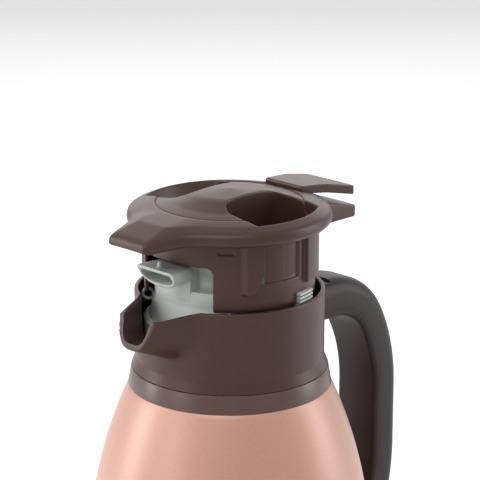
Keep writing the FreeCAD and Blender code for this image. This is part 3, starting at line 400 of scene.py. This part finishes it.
def swept_handle(name, corners):
    """Sweeps a section of (across, outwards) corners from the collar round to the bottle.

    The route is three straights, the first two each followed by bends of (centre, degrees, steps).
    """
    piece = drawn(name, [(ARM_START, across, ARM_LEVEL + out) for across, out in eased(corners)])
    bpy.ops.mesh.select_all(action="SELECT")
    route = (((ARM_LENGTH, 0), UPPER_BENDS), ((0, -GRIP_LENGTH), LOWER_BENDS), ((-FOOT_LENGTH, 0), ()))
    for (out, rise), bends in route:
        bpy.ops.mesh.extrude_region_move(TRANSFORM_OT_translate={"value": (out * MM, 0, rise * MM)})
        for centre, degrees, steps in bends:
            bpy.ops.mesh.spin(steps=steps, angle=math.radians(degrees), axis=(0, -1, 0),
                              center=(centre[0] * MM, 0, centre[1] * MM))
    bpy.ops.mesh.select_all(action="SELECT")
    bpy.ops.mesh.remove_doubles(threshold=0.01 * MM)
    bpy.ops.mesh.fill_holes(sides=0)
    return closed_up(piece)


def slab(name, points, way):
    """Fills a closed outline of points and extrudes it by a vector, in mm."""
    piece = drawn(name, points)
    bpy.ops.mesh.select_all(action="SELECT")
    bpy.ops.mesh.remove_doubles(threshold=0.01 * MM)
    bpy.ops.mesh.edge_face_add()
    bpy.ops.mesh.extrude_region_move(TRANSFORM_OT_translate={"value": Vector(way) * MM})
    return closed_up(piece)


def cut(piece, tool, operation="DIFFERENCE"):
    """Cuts a piece with a tool, which is used up."""
    change = piece.modifiers.new(operation.lower(), "BOOLEAN")
    change.operation = operation
    change.object = tool
    change.solver = "EXACT"
    bpy.ops.object.select_all(action="DESELECT")
    bpy.context.view_layer.objects.active = piece
    piece.select_set(True)
    bpy.ops.object.modifier_apply(modifier=change.name)
    bpy.data.objects.remove(tool)
    bpy.ops.object.shade_smooth_by_angle(angle=SHARP)


HOLLOW_HALF = HANDLE_HALF - 2.5
HOLLOW_OUT = HANDLE_OUT - 2.5
handle_shell = swept_handle("handle_shell_swept", [
    (-HANDLE_HALF, HANDLE_SEAM), (-HANDLE_HALF, HANDLE_OUT, 7), (HANDLE_HALF, HANDLE_OUT, 7),
    (HANDLE_HALF, HANDLE_SEAM, 0.4), (HOLLOW_HALF, HANDLE_SEAM), (HOLLOW_HALF, HOLLOW_OUT, 4.5),
    (-HOLLOW_HALF, HOLLOW_OUT, 4.5), (-HOLLOW_HALF, HANDLE_SEAM), (-HANDLE_HALF, HANDLE_SEAM)])
handle_cover = swept_handle("handle_cover_swept", [
    (-HANDLE_HALF, HANDLE_SEAM - 0.1), (-HANDLE_HALF, -HANDLE_OUT, 2.5), (HANDLE_HALF, -HANDLE_OUT, 2.5),
    (HANDLE_HALF, HANDLE_SEAM - 0.1, 0.4), (-HANDLE_HALF, HANDLE_SEAM - 0.1)])
for half in (handle_shell, handle_cover):
    collar_side = COLLAR_RADIUS + HANDLE_GAP
    bottle_side = SHELL_RADIUS + HANDLE_GAP
    cut(half, turned("collar_fit", [(0, 165), (collar_side, 165), (collar_side, 210), (0, 210)]))
    cut(half, turned("bottle_fit", [(0, 30), (bottle_side, 30), (bottle_side, 69), (0, 69)]))
pocket = eased([(44.5, -9.5, 2), (58, -9.5, 2), (58, 9.5, 2), (44.5, 9.5, 2)], loop=True)
cut(handle_shell, slab("arm_pocket", [(x, y, 195.2) for x, y in pocket], (0, 0, 6)))
fitted(handle_shell, "carafe", "handle_plastic", handle_look, "handle_shell")
fitted(handle_cover, "carafe", "handle_plastic", handle_look, "handle_cover")

# Handle bracket and screws
# Steel tab and two screws inside the handle's ends: CAD solids in plain steel.
screw_steel = metal_look("screw_steel", "#a8a8a8", 0.35)
dressed(steel, "handle_bracket")
dressed(screw_steel, "handle_screws")

# Stopper base
# Pale lower cap of the stopper, turned: flange, inlet with its raised seat and a tall barrel. Ridged
# lugs at the sides and small loops at the front guide it down the collar.
BASE_LEVEL = 185.0
BARREL_RADIUS = 36.4
BARREL_TOP = 210.5
FLANGE_LOW = 180.0
FLANGE_RADIUS = 38.8
BARREL_NECK = 34.0
BARREL_BORE = 33.0
BARREL_FLOOR = 184.0
INLET_RADIUS = 9.0
SEAT_RADIUS = 11.5
LUG_RADIUS = 40.7
LUG_ROOT = 33.5
LUG_LOW = 199.5
LUG_PITCH = 1.7
LUG_RIDGE = 1.1
LUG_SPAN = 15
LOOP_PLACE = 26.0
LOOP_LEVEL = 201.2


def sector(name, corners, start, span):
    """Turns a closed outline of (radius, height) corners through part of a circle, in degrees from +X."""
    turn = Matrix.Rotation(math.radians(start), 3, "Z")
    piece = drawn(name, [turn @ Vector((r, 0, z)) for r, z in eased(corners, loop=True)])
    bpy.ops.mesh.select_all(action="SELECT")
    bpy.ops.mesh.remove_doubles(threshold=0.01 * MM)
    bpy.ops.mesh.spin(steps=max(4, round(span)), angle=math.radians(span), center=(0, 0, 0), axis=(0, 0, -1))
    bpy.ops.mesh.select_all(action="SELECT")
    bpy.ops.mesh.fill_holes(sides=0)
    return closed_up(piece)


def joined(name, pieces):
    """Makes one object of several."""
    bpy.ops.object.select_all(action="DESELECT")
    for piece in pieces:
        piece.select_set(True)
    bpy.context.view_layer.objects.active = pieces[0]
    bpy.ops.object.join()
    pieces[0].name = pieces[0].data.name = name
    return pieces[0]


nozzle_look = moulded_look("nozzle_plastic", "#c3cac5", 0.42)
base_parts = [turned("base_dish", [
    (INLET_RADIUS, FLANGE_LOW), (FLANGE_RADIUS - 1.5, FLANGE_LOW), (FLANGE_RADIUS, FLANGE_LOW + 1.5),
    (FLANGE_RADIUS, BASE_LEVEL), (BARREL_RADIUS, BASE_LEVEL), (BARREL_RADIUS, 192.6), (BARREL_NECK, 204, 8),
    (BARREL_NECK, BARREL_TOP, 0.4), (BARREL_BORE, BARREL_TOP), (BARREL_BORE, BARREL_FLOOR),
    (SEAT_RADIUS, BARREL_FLOOR), (SEAT_RADIUS, BASE_LEVEL), (INLET_RADIUS, BASE_LEVEL),
    (INLET_RADIUS, FLANGE_LOW)])]
for start in (70, -85):
    for k in range(6):
        low = LUG_LOW + LUG_PITCH * k
        high = low + LUG_RIDGE
        ridge = [(LUG_ROOT, low), (LUG_RADIUS, low, 0.3), (LUG_RADIUS, high, 0.3), (LUG_ROOT, high)]
        base_parts.append(sector("guide_lug", ridge, start, LUG_SPAN))
for side in (1, -1):
    bpy.ops.mesh.primitive_torus_add(
        location=(-LOOP_PLACE * MM, side * LOOP_PLACE * MM, LOOP_LEVEL * MM),
        rotation=(0, math.radians(90), side * math.radians(45)),
        major_radius=2.4 * MM, minor_radius=0.7 * MM, major_segments=32, minor_segments=12)
    bpy.ops.object.transform_apply(location=True, rotation=True)
    base_parts.append(bpy.context.object)
stopper_base = joined("stopper_base_turned", base_parts)
bpy.ops.object.shade_smooth_by_angle(angle=SHARP)
fitted(stopper_base, "lid", "nozzle_plastic", nozzle_look, "stopper_base")

# Stopper gasket
# Whitish silicone ring with three lips, turned, stretched over the barrel above the flange.
GASKET_HEIGHT = 7.2
GASKET_TOP = BASE_LEVEL + GASKET_HEIGHT
GASKET_BORE = 36.5
GASKET_RADIUS = 39.1
GROOVE_RADIUS = 37.8
gasket_outline = [(GASKET_BORE, BASE_LEVEL), (GROOVE_RADIUS, BASE_LEVEL)]
for k in range(1, 6):
    gasket_outline.append((GASKET_RADIUS if k % 2 else GROOVE_RADIUS, BASE_LEVEL + GASKET_HEIGHT * k / 6, 0.35))
gasket_outline += [(GROOVE_RADIUS, GASKET_TOP), (GASKET_BORE, GASKET_TOP), (GASKET_BORE, BASE_LEVEL)]
stopper_gasket = turned("stopper_gasket_turned", gasket_outline)
fitted(stopper_gasket, "lid", "pale_silicone", pale_silicone, "stopper_gasket")

# Valve
# Stem, disc and washer, with the packing ring: inside the chamber, so the CAD solids stay.
dressed(nozzle_look, "valve_stem", "valve_disc")
dressed(pale_silicone, "valve_seal", "stem_seal")

# Valve spring
# Steel coil round the stem, a thin ring of wire screwed up its length.
SPRING_LOW = 190.1
SPRING_TOP = 223.5
WIRE = 0.75
COIL_RADIUS = 4.05
TURNS = 8
bpy.ops.object.select_all(action="DESELECT")
bpy.ops.mesh.primitive_circle_add(
    radius=WIRE * MM, vertices=10, location=(COIL_RADIUS * MM, 0, (SPRING_LOW + WIRE) * MM),
    rotation=(math.radians(90), 0, 0))
bpy.ops.object.transform_apply(location=True, rotation=True, scale=True)
valve_spring = bpy.context.object
valve_spring.name = valve_spring.data.name = "valve_spring_coil"
coil = valve_spring.modifiers.new("coil", "SCREW")
coil.iterations = TURNS
coil.screw_offset = (SPRING_TOP - SPRING_LOW - 2 * WIRE) / TURNS * MM
coil.steps = coil.render_steps = 28
coil.use_merge_vertices = True
bpy.ops.object.modifier_apply(modifier=coil.name)
bpy.ops.object.mode_set(mode="EDIT")
bpy.ops.mesh.select_all(action="SELECT")
bpy.ops.mesh.fill_holes(sides=0)
closed_up(valve_spring)
fitted(valve_spring, "lid", "screw_steel", screw_steel, "valve_spring")
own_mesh(valve_spring)

# Pour nozzle
# Pale moulded chamber over the valve, turned with a step, and the D-shaped outlet that stands out of
# it on a block: tube, block and peg are one softened moulding, joined to the chamber.
NOZZLE_TOP = 223.0
NOZZLE_FACE = -47.0
NOZZLE_DEPTH = 9.5
NOZZLE_HALF = 11.5
NOZZLE_LEAN = 4.5 / NOZZLE_DEPTH
NOZZLE_WALL = 1.8
BLOCK_HALF = 8.5
CHAMBER_RADIUS = 33.6
CHAMBER_BORE = 32.6
CHAMBER_CEILING = 209.0
LEDGE = BARREL_TOP + 0.6
DRUM_RADIUS = 28.5
DRUM_BORE = 27.0
DRUM_TOP = 225.0
DRUM_CEILING = 223.5
STEM_HOLE = 2.6
BLOCK_LOW = BARREL_TOP - 4
BLOCK_FRONT = 34.1


def plan(corners, height):
    """Points of a level outline of (x, y) corners."""
    return [(x, y, height) for x, y in eased(corners, loop=True)]


def softened(piece, voxel, rounds):
    """Turns overlapping solids into one moulding whose edges are rounded by about a voxel, in mm."""
    skin = piece.modifiers.new("skin", "REMESH")
    skin.mode = "VOXEL"
    skin.voxel_size = voxel * MM
    ease = piece.modifiers.new("ease", "SMOOTH")
    ease.factor = 0.5
    ease.iterations = rounds
    bpy.ops.object.select_all(action="DESELECT")
    bpy.context.view_layer.objects.active = piece
    piece.select_set(True)
    for change in (skin, ease):
        bpy.ops.object.modifier_apply(modifier=change.name)
    bpy.ops.object.shade_smooth()
    return piece


def d_tube(name, inset, front, lengths):
    """D-shaped tube from the outlet's leaning face back to the chamber, narrowing as it goes."""
    half = NOZZLE_HALF - inset
    top = NOZZLE_TOP - inset
    side = 2.5
    arc = NOZZLE_DEPTH - 2 * inset - side
    turns = [math.pi * k / 24 for k in range(25)]
    bowl = [(half * math.cos(a), top - side - arc * math.sin(a)) for a in turns]
    ring = eased([(half, top, 1.6 - inset * 0.4)] + bowl + [(-half, top, 1.6 - inset * 0.4)], loop=True)
    piece = drawn(name, [(front + (NOZZLE_TOP - z) * NOZZLE_LEAN, y, z) for y, z in ring])
    bpy.ops.mesh.select_all(action="SELECT")
    bpy.ops.mesh.remove_doubles(threshold=0.01 * MM)
    for length, narrowing in lengths:
        bpy.ops.mesh.extrude_region_move(TRANSFORM_OT_translate={"value": (length * MM, 0, 0)})
        bpy.ops.transform.resize(value=(1, narrowing, 1), center_override=(0, 0, 0))
    bpy.ops.mesh.select_all(action="SELECT")
    bpy.ops.mesh.fill_holes(sides=0)
    return closed_up(piece)


outlet = d_tube("outlet", 0, NOZZLE_FACE, ((5, 0.98), (5, 0.9), (6, 0.82)))
cut(outlet, d_tube("passage", NOZZLE_WALL, NOZZLE_FACE - 1, ((6, 0.98), (6, 0.9))))
block = slab("block", plan([
    (-36, -BLOCK_HALF), (-36, BLOCK_HALF), (-24, BLOCK_HALF), (-24, -BLOCK_HALF)], BLOCK_LOW),
    (0, 0, NOZZLE_TOP - BLOCK_LOW))
cut(block, turned("block_front", [(0, 200), (BLOCK_FRONT, 200), (BLOCK_FRONT, 230), (0, 230)]), "INTERSECT")
bpy.ops.mesh.primitive_cone_add(radius1=1.5 * MM, radius2=0.9 * MM, depth=3.4 * MM, vertices=24,
                                location=(-42.9 * MM, 0, (NOZZLE_TOP + 0.9) * MM))
peg = bpy.context.object
bpy.ops.object.transform_apply(location=True)
spout_block = softened(joined("spout_block", [outlet, block, peg]), 0.3, 4)
pour_nozzle = turned("pour_nozzle_moulded", [
    (CHAMBER_BORE, BARREL_FLOOR), (BARREL_BORE, BARREL_FLOOR), (BARREL_BORE, BARREL_TOP),
    (CHAMBER_RADIUS, BARREL_TOP), (CHAMBER_RADIUS, LEDGE, 0.4), (DRUM_RADIUS, LEDGE),
    (DRUM_RADIUS, DRUM_TOP, 0.5), (STEM_HOLE, DRUM_TOP), (STEM_HOLE, DRUM_CEILING), (DRUM_BORE, DRUM_CEILING),
    (DRUM_BORE, CHAMBER_CEILING), (CHAMBER_BORE, CHAMBER_CEILING), (CHAMBER_BORE, BARREL_FLOOR)])
cut(pour_nozzle, spout_block, "UNION")
fitted(pour_nozzle, "lid", "nozzle_plastic", nozzle_look, "pour_nozzle")

# Stopper housing
# Brown moulded skirt under the lid: a turned wall with the pouring window, a ramped guide rib with a
# cut corner, a plain sunk panel, a rear rib and a slot on each side, softened as one moulding.
LID = 235.3
HOUSING_RADIUS = 38.5
HOUSING_BORE = 36.8
RIB_RADIUS = 40.6
RIB_LOW = 212.4
RIB_ROOT = 37.5
REAR_RIB_LOW = 213.0
REAR_RIB_SPAN = 22
HOUSING_LOW = 204.3
WINDOW_HALF = 21.2
WINDOW_TOP = 224.2
housing = turned("housing_wall", [
    (HOUSING_BORE, HOUSING_LOW), (HOUSING_RADIUS, HOUSING_LOW), (HOUSING_RADIUS, LID), (HOUSING_BORE, LID),
    (HOUSING_BORE, HOUSING_LOW)], steps=240)
window = [(WINDOW_HALF, 190), (WINDOW_HALF, WINDOW_TOP, 2.5), (-WINDOW_HALF, WINDOW_TOP, 2.5),
          (-WINDOW_HALF, 190)]
cut(housing, slab("window", [(-50, y, z) for y, z in eased(window, loop=True)], (25, 0, 0)))


def around(radius, degrees, height):
    """Point at an angle from the spout, on the lid's -Y side."""
    angle = math.radians(degrees)
    return Vector((-radius * math.cos(angle), -radius * math.sin(angle), height))


def ring_cut(low, high, start, span, inner):
    """Tool that cuts a stretch of the skirt from outside down to a radius."""
    return sector("ring_cut", [(inner, low), (46, low), (46, high), (inner, high)], start, span)


rib_plan = [around(RIB_ROOT, 50.4, RIB_LOW)]
rib_plan += [around(RIB_RADIUS, a, RIB_LOW) for a in (55.9, 59.7, 63.5, 67.4)]
rib_plan += [around(RIB_ROOT, a, RIB_LOW) for a in (67.4, 59, 50.4)]
ribs = []
for side in (1, -1):
    mirror = Matrix.Diagonal((1, side, 1))
    rib = slab("front_rib", [mirror @ p for p in rib_plan], (0, 0, LID - RIB_LOW))
    corner = [around(36, 59.5, RIB_LOW - 0.5), around(36, 69, RIB_LOW - 0.5), around(36, 69, RIB_LOW + 10)]
    corner.append(corner[0])
    cut(rib, slab("corner_cut", [mirror @ p for p in corner], mirror @ (around(10, 63, 0))))
    ribs.append(rib)
    ribs.append(sector("rear_rib", [
        (RIB_ROOT, REAR_RIB_LOW), (RIB_RADIUS, REAR_RIB_LOW), (RIB_RADIUS, LID), (RIB_ROOT, LID)],
        55 if side < 0 else -77, REAR_RIB_SPAN))
    cut(housing, ring_cut(216.6, 233.4, 83 if side < 0 else -112.4, 29.4, 37.4))
    cut(housing, ring_cut(230.2, 232.2, 132 if side < 0 else -143, 11, 37.7))
stopper_housing = softened(joined("stopper_housing_moulded", [housing] + ribs), 0.45, 3)
fitted(stopper_housing, "lid", "brown_plastic", brown, "stopper_housing")

# Lid screws and lever pin
# Two screws up into the cover and the steel pin of the lever: hidden, so the CAD solids stay.
dressed(screw_steel, "lid_screws", "lever_pin")

# Lid cover
# Brown moulding with a rolled brim, turned and drawn out at the front into the visor, with two finger
# cups, the bay for the lever and the tail below it, softened as one moulding.
BRIM_RADIUS = 46.0
CREASE_RADIUS = 33.5
CREASE = 245.0
VISOR_TIP = 63.0
VISOR_HALF = 11.4
VISOR_ROOT_ANGLE = 34.0
VISOR_DROOP = 1.8
TAIL_END = 68.5
TAIL_BOW = 2.0
RECESS_FLOOR = 227.5
RECESS_SEAM = 0.3
RECESS_FRONT = -18.0
RECESS_REAR = 23.0
RECESS_ROUND = 9.0
BAR_HALF = 10.5
DOME_TOP = 250.5

brim = turned("brim", [
    (30, 237.5), (30, LID), (44.3, LID), (BRIM_RADIUS, 237.2, 1.5), (BRIM_RADIUS, 241.2, 3.2), (40, 243.7, 6),
    (CREASE_RADIUS, CREASE, 0.6), (CREASE_RADIUS - 0.6, 243), (30, 242), (30, 237.5)], steps=360)
for vertex in brim.data.vertices:
    x, y, z = vertex.co / MM
    radius = math.hypot(x, y)
    angle = math.degrees(math.atan2(abs(y), -x))
    if angle > VISOR_ROOT_ANGLE or radius < CREASE_RADIUS:
        continue
    corner = math.degrees(math.atan2(VISOR_HALF, VISOR_TIP))
    if angle < corner:
        reach = VISOR_TIP / math.cos(math.radians(angle))
    else:
        fall = 1 - (angle - corner) / (VISOR_ROOT_ANGLE - corner)
        reach = BRIM_RADIUS + (math.hypot(VISOR_TIP, VISOR_HALF) - BRIM_RADIUS) * fall ** 2.7
    grown = CREASE_RADIUS + (radius - CREASE_RADIUS) * (reach - CREASE_RADIUS) / (BRIM_RADIUS - CREASE_RADIUS)
    z -= VISOR_DROOP * max(grown - BRIM_RADIUS, 0) / (VISOR_TIP - BRIM_RADIUS)
    vertex.co = Vector((x * grown / radius, y * grown / radius, z)) * MM
tail_side = [(38, 238), (46, 237.3), (TAIL_END, 232.2, 0.8), (TAIL_END, 227.3, 0.8), (40, 227.3), (38, 235.3)]
tail = slab("tail", [(x, -17, z) for x, z in eased(tail_side, loop=True)], (0, 34, 0))
tail_end = [(36, -16.7), (TAIL_END - TAIL_BOW, -16.7, 2), (TAIL_END, -6, 20), (TAIL_END, 6, 20),
            (TAIL_END - TAIL_BOW, 16.7, 2), (36, 16.7)]
cut(tail, slab("tail_plan", plan(tail_end, 220), (0, 0, 25)), "INTERSECT")
cut(tail, turned("collar_space", [(0, 220), (44.2, 220), (44.2, LID), (0, LID)]))


def finger_recess(side, grow, low):
    """Space of one finger recess, or with grow the outside of its cup: a rounded D beside the pinch bar."""
    outer = turned("recess_outer", [
        (0, low), (35 + grow, low), (35 + grow, 236.5), (39.8 + grow, 244), (41 + grow, 256),
        (0, 256), (0, low)])
    front = RECESS_FRONT - grow
    rear = RECESS_REAR + grow
    inner = side * (BAR_HALF - grow)
    bounds = [(front, inner, RECESS_ROUND), (rear, inner, RECESS_ROUND),
              (rear, side * 48), (front, side * 48)]
    cut(outer, slab("recess_bounds", plan(bounds, low - 1), (0, 0, 40)), "INTERSECT")
    return outer


lid_cover = joined("lid_cover_moulded", [brim, tail])
softened(lid_cover, 0.5, 2)
for side in (1, -1):
    cut(lid_cover, finger_recess(side, RECESS_SEAM, RECESS_FLOOR - RECESS_SEAM))
bay = [(33.2, 236.5), (46.6, 236.8), (70, 236.8), (70, 260), (33.2, 260)]
bay_plan = [(28, -12.2), (34, -12.2), (70, -17.5), (70, 17.5), (34, 12.2), (28, 12.2)]
lever_bay = slab("lever_bay", [(x, -20, z) for x, z in eased(bay, loop=True)], (0, 40, 0))
cut(lever_bay, slab("bay_plan", plan(bay_plan, 230), (0, 0, 40)), "INTERSECT")
cut(lid_cover, lever_bay)
softened(lid_cover, 0.5, 4)
fitted(lid_cover, "lid", "brown_plastic", brown, "lid_cover")

# Grip plate
# Brown insert inside the brim, turned: it dips at its edge and rises to the bar that is pinched between
# the two finger wells. Their cups hang below it, and a pocket leaves room for the valve's stem.
STEM_POCKET = 245.0
DOME_UNDERSIDE = 240.0
CUP_WALL = 1.6
CUP_TOP = 242.0
CUP_RADIUS = 36.6
grip_parts = [turned("dome", [
    (0, STEM_POCKET), (9, STEM_POCKET), (9, DOME_UNDERSIDE), (CREASE_RADIUS + 0.6, DOME_UNDERSIDE),
    (CREASE_RADIUS + 0.6, 242.8), (CREASE_RADIUS - 0.6, 244.5, 0.4),
    (26, 245.8, 12), (16, 249, 20),
    (0, DOME_TOP)])]
for side in (1, -1):
    cup = finger_recess(side, CUP_WALL, RECESS_FLOOR - CUP_WALL)
    cut(cup, turned("cup_top", [(0, CUP_TOP), (60, CUP_TOP), (60, 270), (0, 270)]))
    cup_outside = [(0, 200), (CUP_RADIUS, 200), (CUP_RADIUS, 236), (CREASE_RADIUS - 0.6, CUP_TOP),
                   (0, CUP_TOP)]
    cut(cup, turned("cup_outside", cup_outside), "INTERSECT")
    grip_parts.append(cup)
grip_plate = softened(joined("grip_plate_turned", grip_parts), 0.45, 2)
for side in (1, -1):
    cut(grip_plate, finger_recess(side, 0, RECESS_FLOOR))
softened(grip_plate, 0.45, 3)
fitted(grip_plate, "lid", "brown_plastic", brown, "grip_plate")

# Lever
# Brown thumb lever on the pin: a bent plate with a bowed end, its barrel and the forked arm that lifts
# the valve's stem, softened as one moulding.
PIN_X = 30.0
PIN_Z = 239.0
FORK_HALF = 3.7
thumb = [(PIN_X, 240.5), (34.6, 242.2), (34.6, 246.6, 1), (50, 245.2, 20), (TAIL_END, 241.2, 1.2),
         (TAIL_END, 237, 1), (50, 241, 20), (38.8, 242.4), (33.2, 239), (PIN_X, 237.5)]
lever_plate = slab("lever_plate", [(x, -17, z) for x, z in eased(thumb, loop=True)], (0, 34, 0))
lever_plan = [(26.8, -11.2), (34.6, -11.2), (TAIL_END - TAIL_BOW, -15.5, 1.5), (TAIL_END, -6, 20),
              (TAIL_END, 6, 20), (TAIL_END - TAIL_BOW, 15.5, 1.5), (34.6, 11.2), (26.8, 11.2)]
cut(lever_plate, slab("lever_plan", plan(lever_plan, 230), (0, 0, 30)), "INTERSECT")
arm = [(-5, 231.1), (6.7, 231.1), (PIN_X, 235.8), (PIN_X, 240.5), (6.7, 234.1), (-5, 234.1)]
lever_arm = slab("lever_arm", [(x, -6.5, z) for x, z in eased(arm, loop=True)], (0, 13, 0))
fork = [(-7, -FORK_HALF), (FORK_HALF, -FORK_HALF, 3.5), (FORK_HALF, FORK_HALF, 3.5), (-7, FORK_HALF)]
cut(lever_arm, slab("fork", plan(fork, 225), (0, 0, 15)))
bpy.ops.mesh.primitive_cylinder_add(radius=3.2 * MM, depth=22.4 * MM, vertices=48,
                                    rotation=(math.radians(90), 0, 0), location=(PIN_X * MM, 0, PIN_Z * MM))
barrel = bpy.context.object
bpy.ops.object.transform_apply(location=True, rotation=True)
lever = joined("lever_moulded", [lever_plate, lever_arm, barrel])
softened(lever, 0.35, 4)
fitted(lever, "lever", "brown_plastic", brown, "lever")

# Stage
# Pale floor, tall soft lights at the left and right, weaker ones at the front and back, a white world
# and the camera.
def seen_rays(tree, low, high):
    """Strength that is high for rays which show the background and low for those which light the carafe."""
    path = add_node(tree, "ShaderNodeLightPath")
    seen = path.outputs["Is Camera Ray"]
    for ray in ("Is Glossy Ray", "Is Transmission Ray"):
        either = add_node(tree, "ShaderNodeMath")
        either.operation = "MAXIMUM"
        tree.links.new(seen, either.inputs[0])
        tree.links.new(path.outputs[ray], either.inputs[1])
        seen = either.outputs["Value"]
    strength = add_node(tree, "ShaderNodeMapRange")
    strength.inputs["To Min"].default_value = low
    strength.inputs["To Max"].default_value = high
    tree.links.new(seen, strength.inputs["Value"])
    return strength.outputs["Result"]


def floor_look(name, colour, lift):
    """White floor that keeps a shadow and goes white where it is fully lit."""
    made = bpy.data.materials.new(name)
    made.use_nodes = True
    tree = made.node_tree
    shader = tree.nodes["Principled BSDF"]
    shader.inputs["Base Color"].default_value = linear(colour)
    shader.inputs["Roughness"].default_value = 0.9
    shader.inputs["Emission Color"].default_value = (1, 1, 1, 1)
    tree.links.new(seen_rays(tree, 0, lift), shader.inputs["Emission Strength"])
    return made


bpy.ops.mesh.primitive_plane_add(size=12.0)
floor = bpy.context.object
floor.name = "floor"
floor.data.materials.append(floor_look("floor_white", "#f4f4f4", 0.45))

VIEW_TURN = math.radians(-45)
VIEW_RISE = math.radians(17.73)
VIEW_DISTANCE = 1.0
rim_centre = Vector((0, 0, RIM * MM))
back = Vector((math.sin(VIEW_TURN) * math.cos(VIEW_RISE), -math.cos(VIEW_TURN) * math.cos(VIEW_RISE),
               math.sin(VIEW_RISE)))
right = Vector((math.cos(VIEW_TURN), math.sin(VIEW_TURN), 0))
up = back.cross(right)


def soft_light(name, turn, rise, distance, width, height, watts):
    """Rectangular lamp aimed at the carafe; turn is its angle round from the camera."""
    side = math.radians(turn)
    level = back.copy()
    level.z = 0
    level.normalize()
    way = level * math.cos(side) + right * math.sin(side)
    way = way * math.cos(math.radians(rise)) + Vector((0, 0, math.sin(math.radians(rise))))
    bpy.ops.object.light_add(type="AREA", location=Vector((0, 0, 0.15)) + way * distance)
    lamp = bpy.context.object
    lamp.name = name
    lamp.data.shape = "RECTANGLE"
    lamp.data.size = width
    lamp.data.size_y = height
    lamp.data.energy = watts
    lamp.rotation_euler = way.to_track_quat("Z", "Y").to_euler()


soft_light("left_softbox", -96, 16, 1.1, 0.26, 1.3, 8)
soft_light("left_front_softbox", -56, 14, 1.4, 0.4, 1.2, 4)
soft_light("right_softbox", 98, 10, 1.2, 0.45, 1.3, 8)
soft_light("front_softbox", -15, 56, 1.3, 0.8, 0.8, 6)
soft_light("back_softbox", 180, 20, 1.6, 1.6, 0.5, 3)

world = bpy.data.worlds.new("studio")
bpy.context.scene.world = world
world.use_nodes = True
sky = world.node_tree.nodes["Background"]
sky.inputs["Color"].default_value = (1, 1, 1, 1)
world.node_tree.links.new(seen_rays(world.node_tree, 0.24, 1.0), sky.inputs["Strength"])
bpy.context.scene.view_settings.view_transform = "Standard"

FRAME_PIXELS = 480
FOCAL_PIXELS = 2215
RIM_PIXEL = (229.6, 285)
aside = (FRAME_PIXELS / 2 - RIM_PIXEL[0]) / FOCAL_PIXELS * VIEW_DISTANCE
above = (RIM_PIXEL[1] - FRAME_PIXELS / 2) / FOCAL_PIXELS * VIEW_DISTANCE
place = rim_centre + back * VIEW_DISTANCE
aim = rim_centre + right * aside + up * above
bpy.ops.object.camera_add(location=place)
camera = bpy.context.object
camera.rotation_euler = (place - aim).to_track_quat("Z", "Y").to_euler()
camera.data.sensor_width = 36
camera.data.lens = 36 * FOCAL_PIXELS / FRAME_PIXELS
camera.data.clip_end = 30
bpy.context.scene.camera = camera
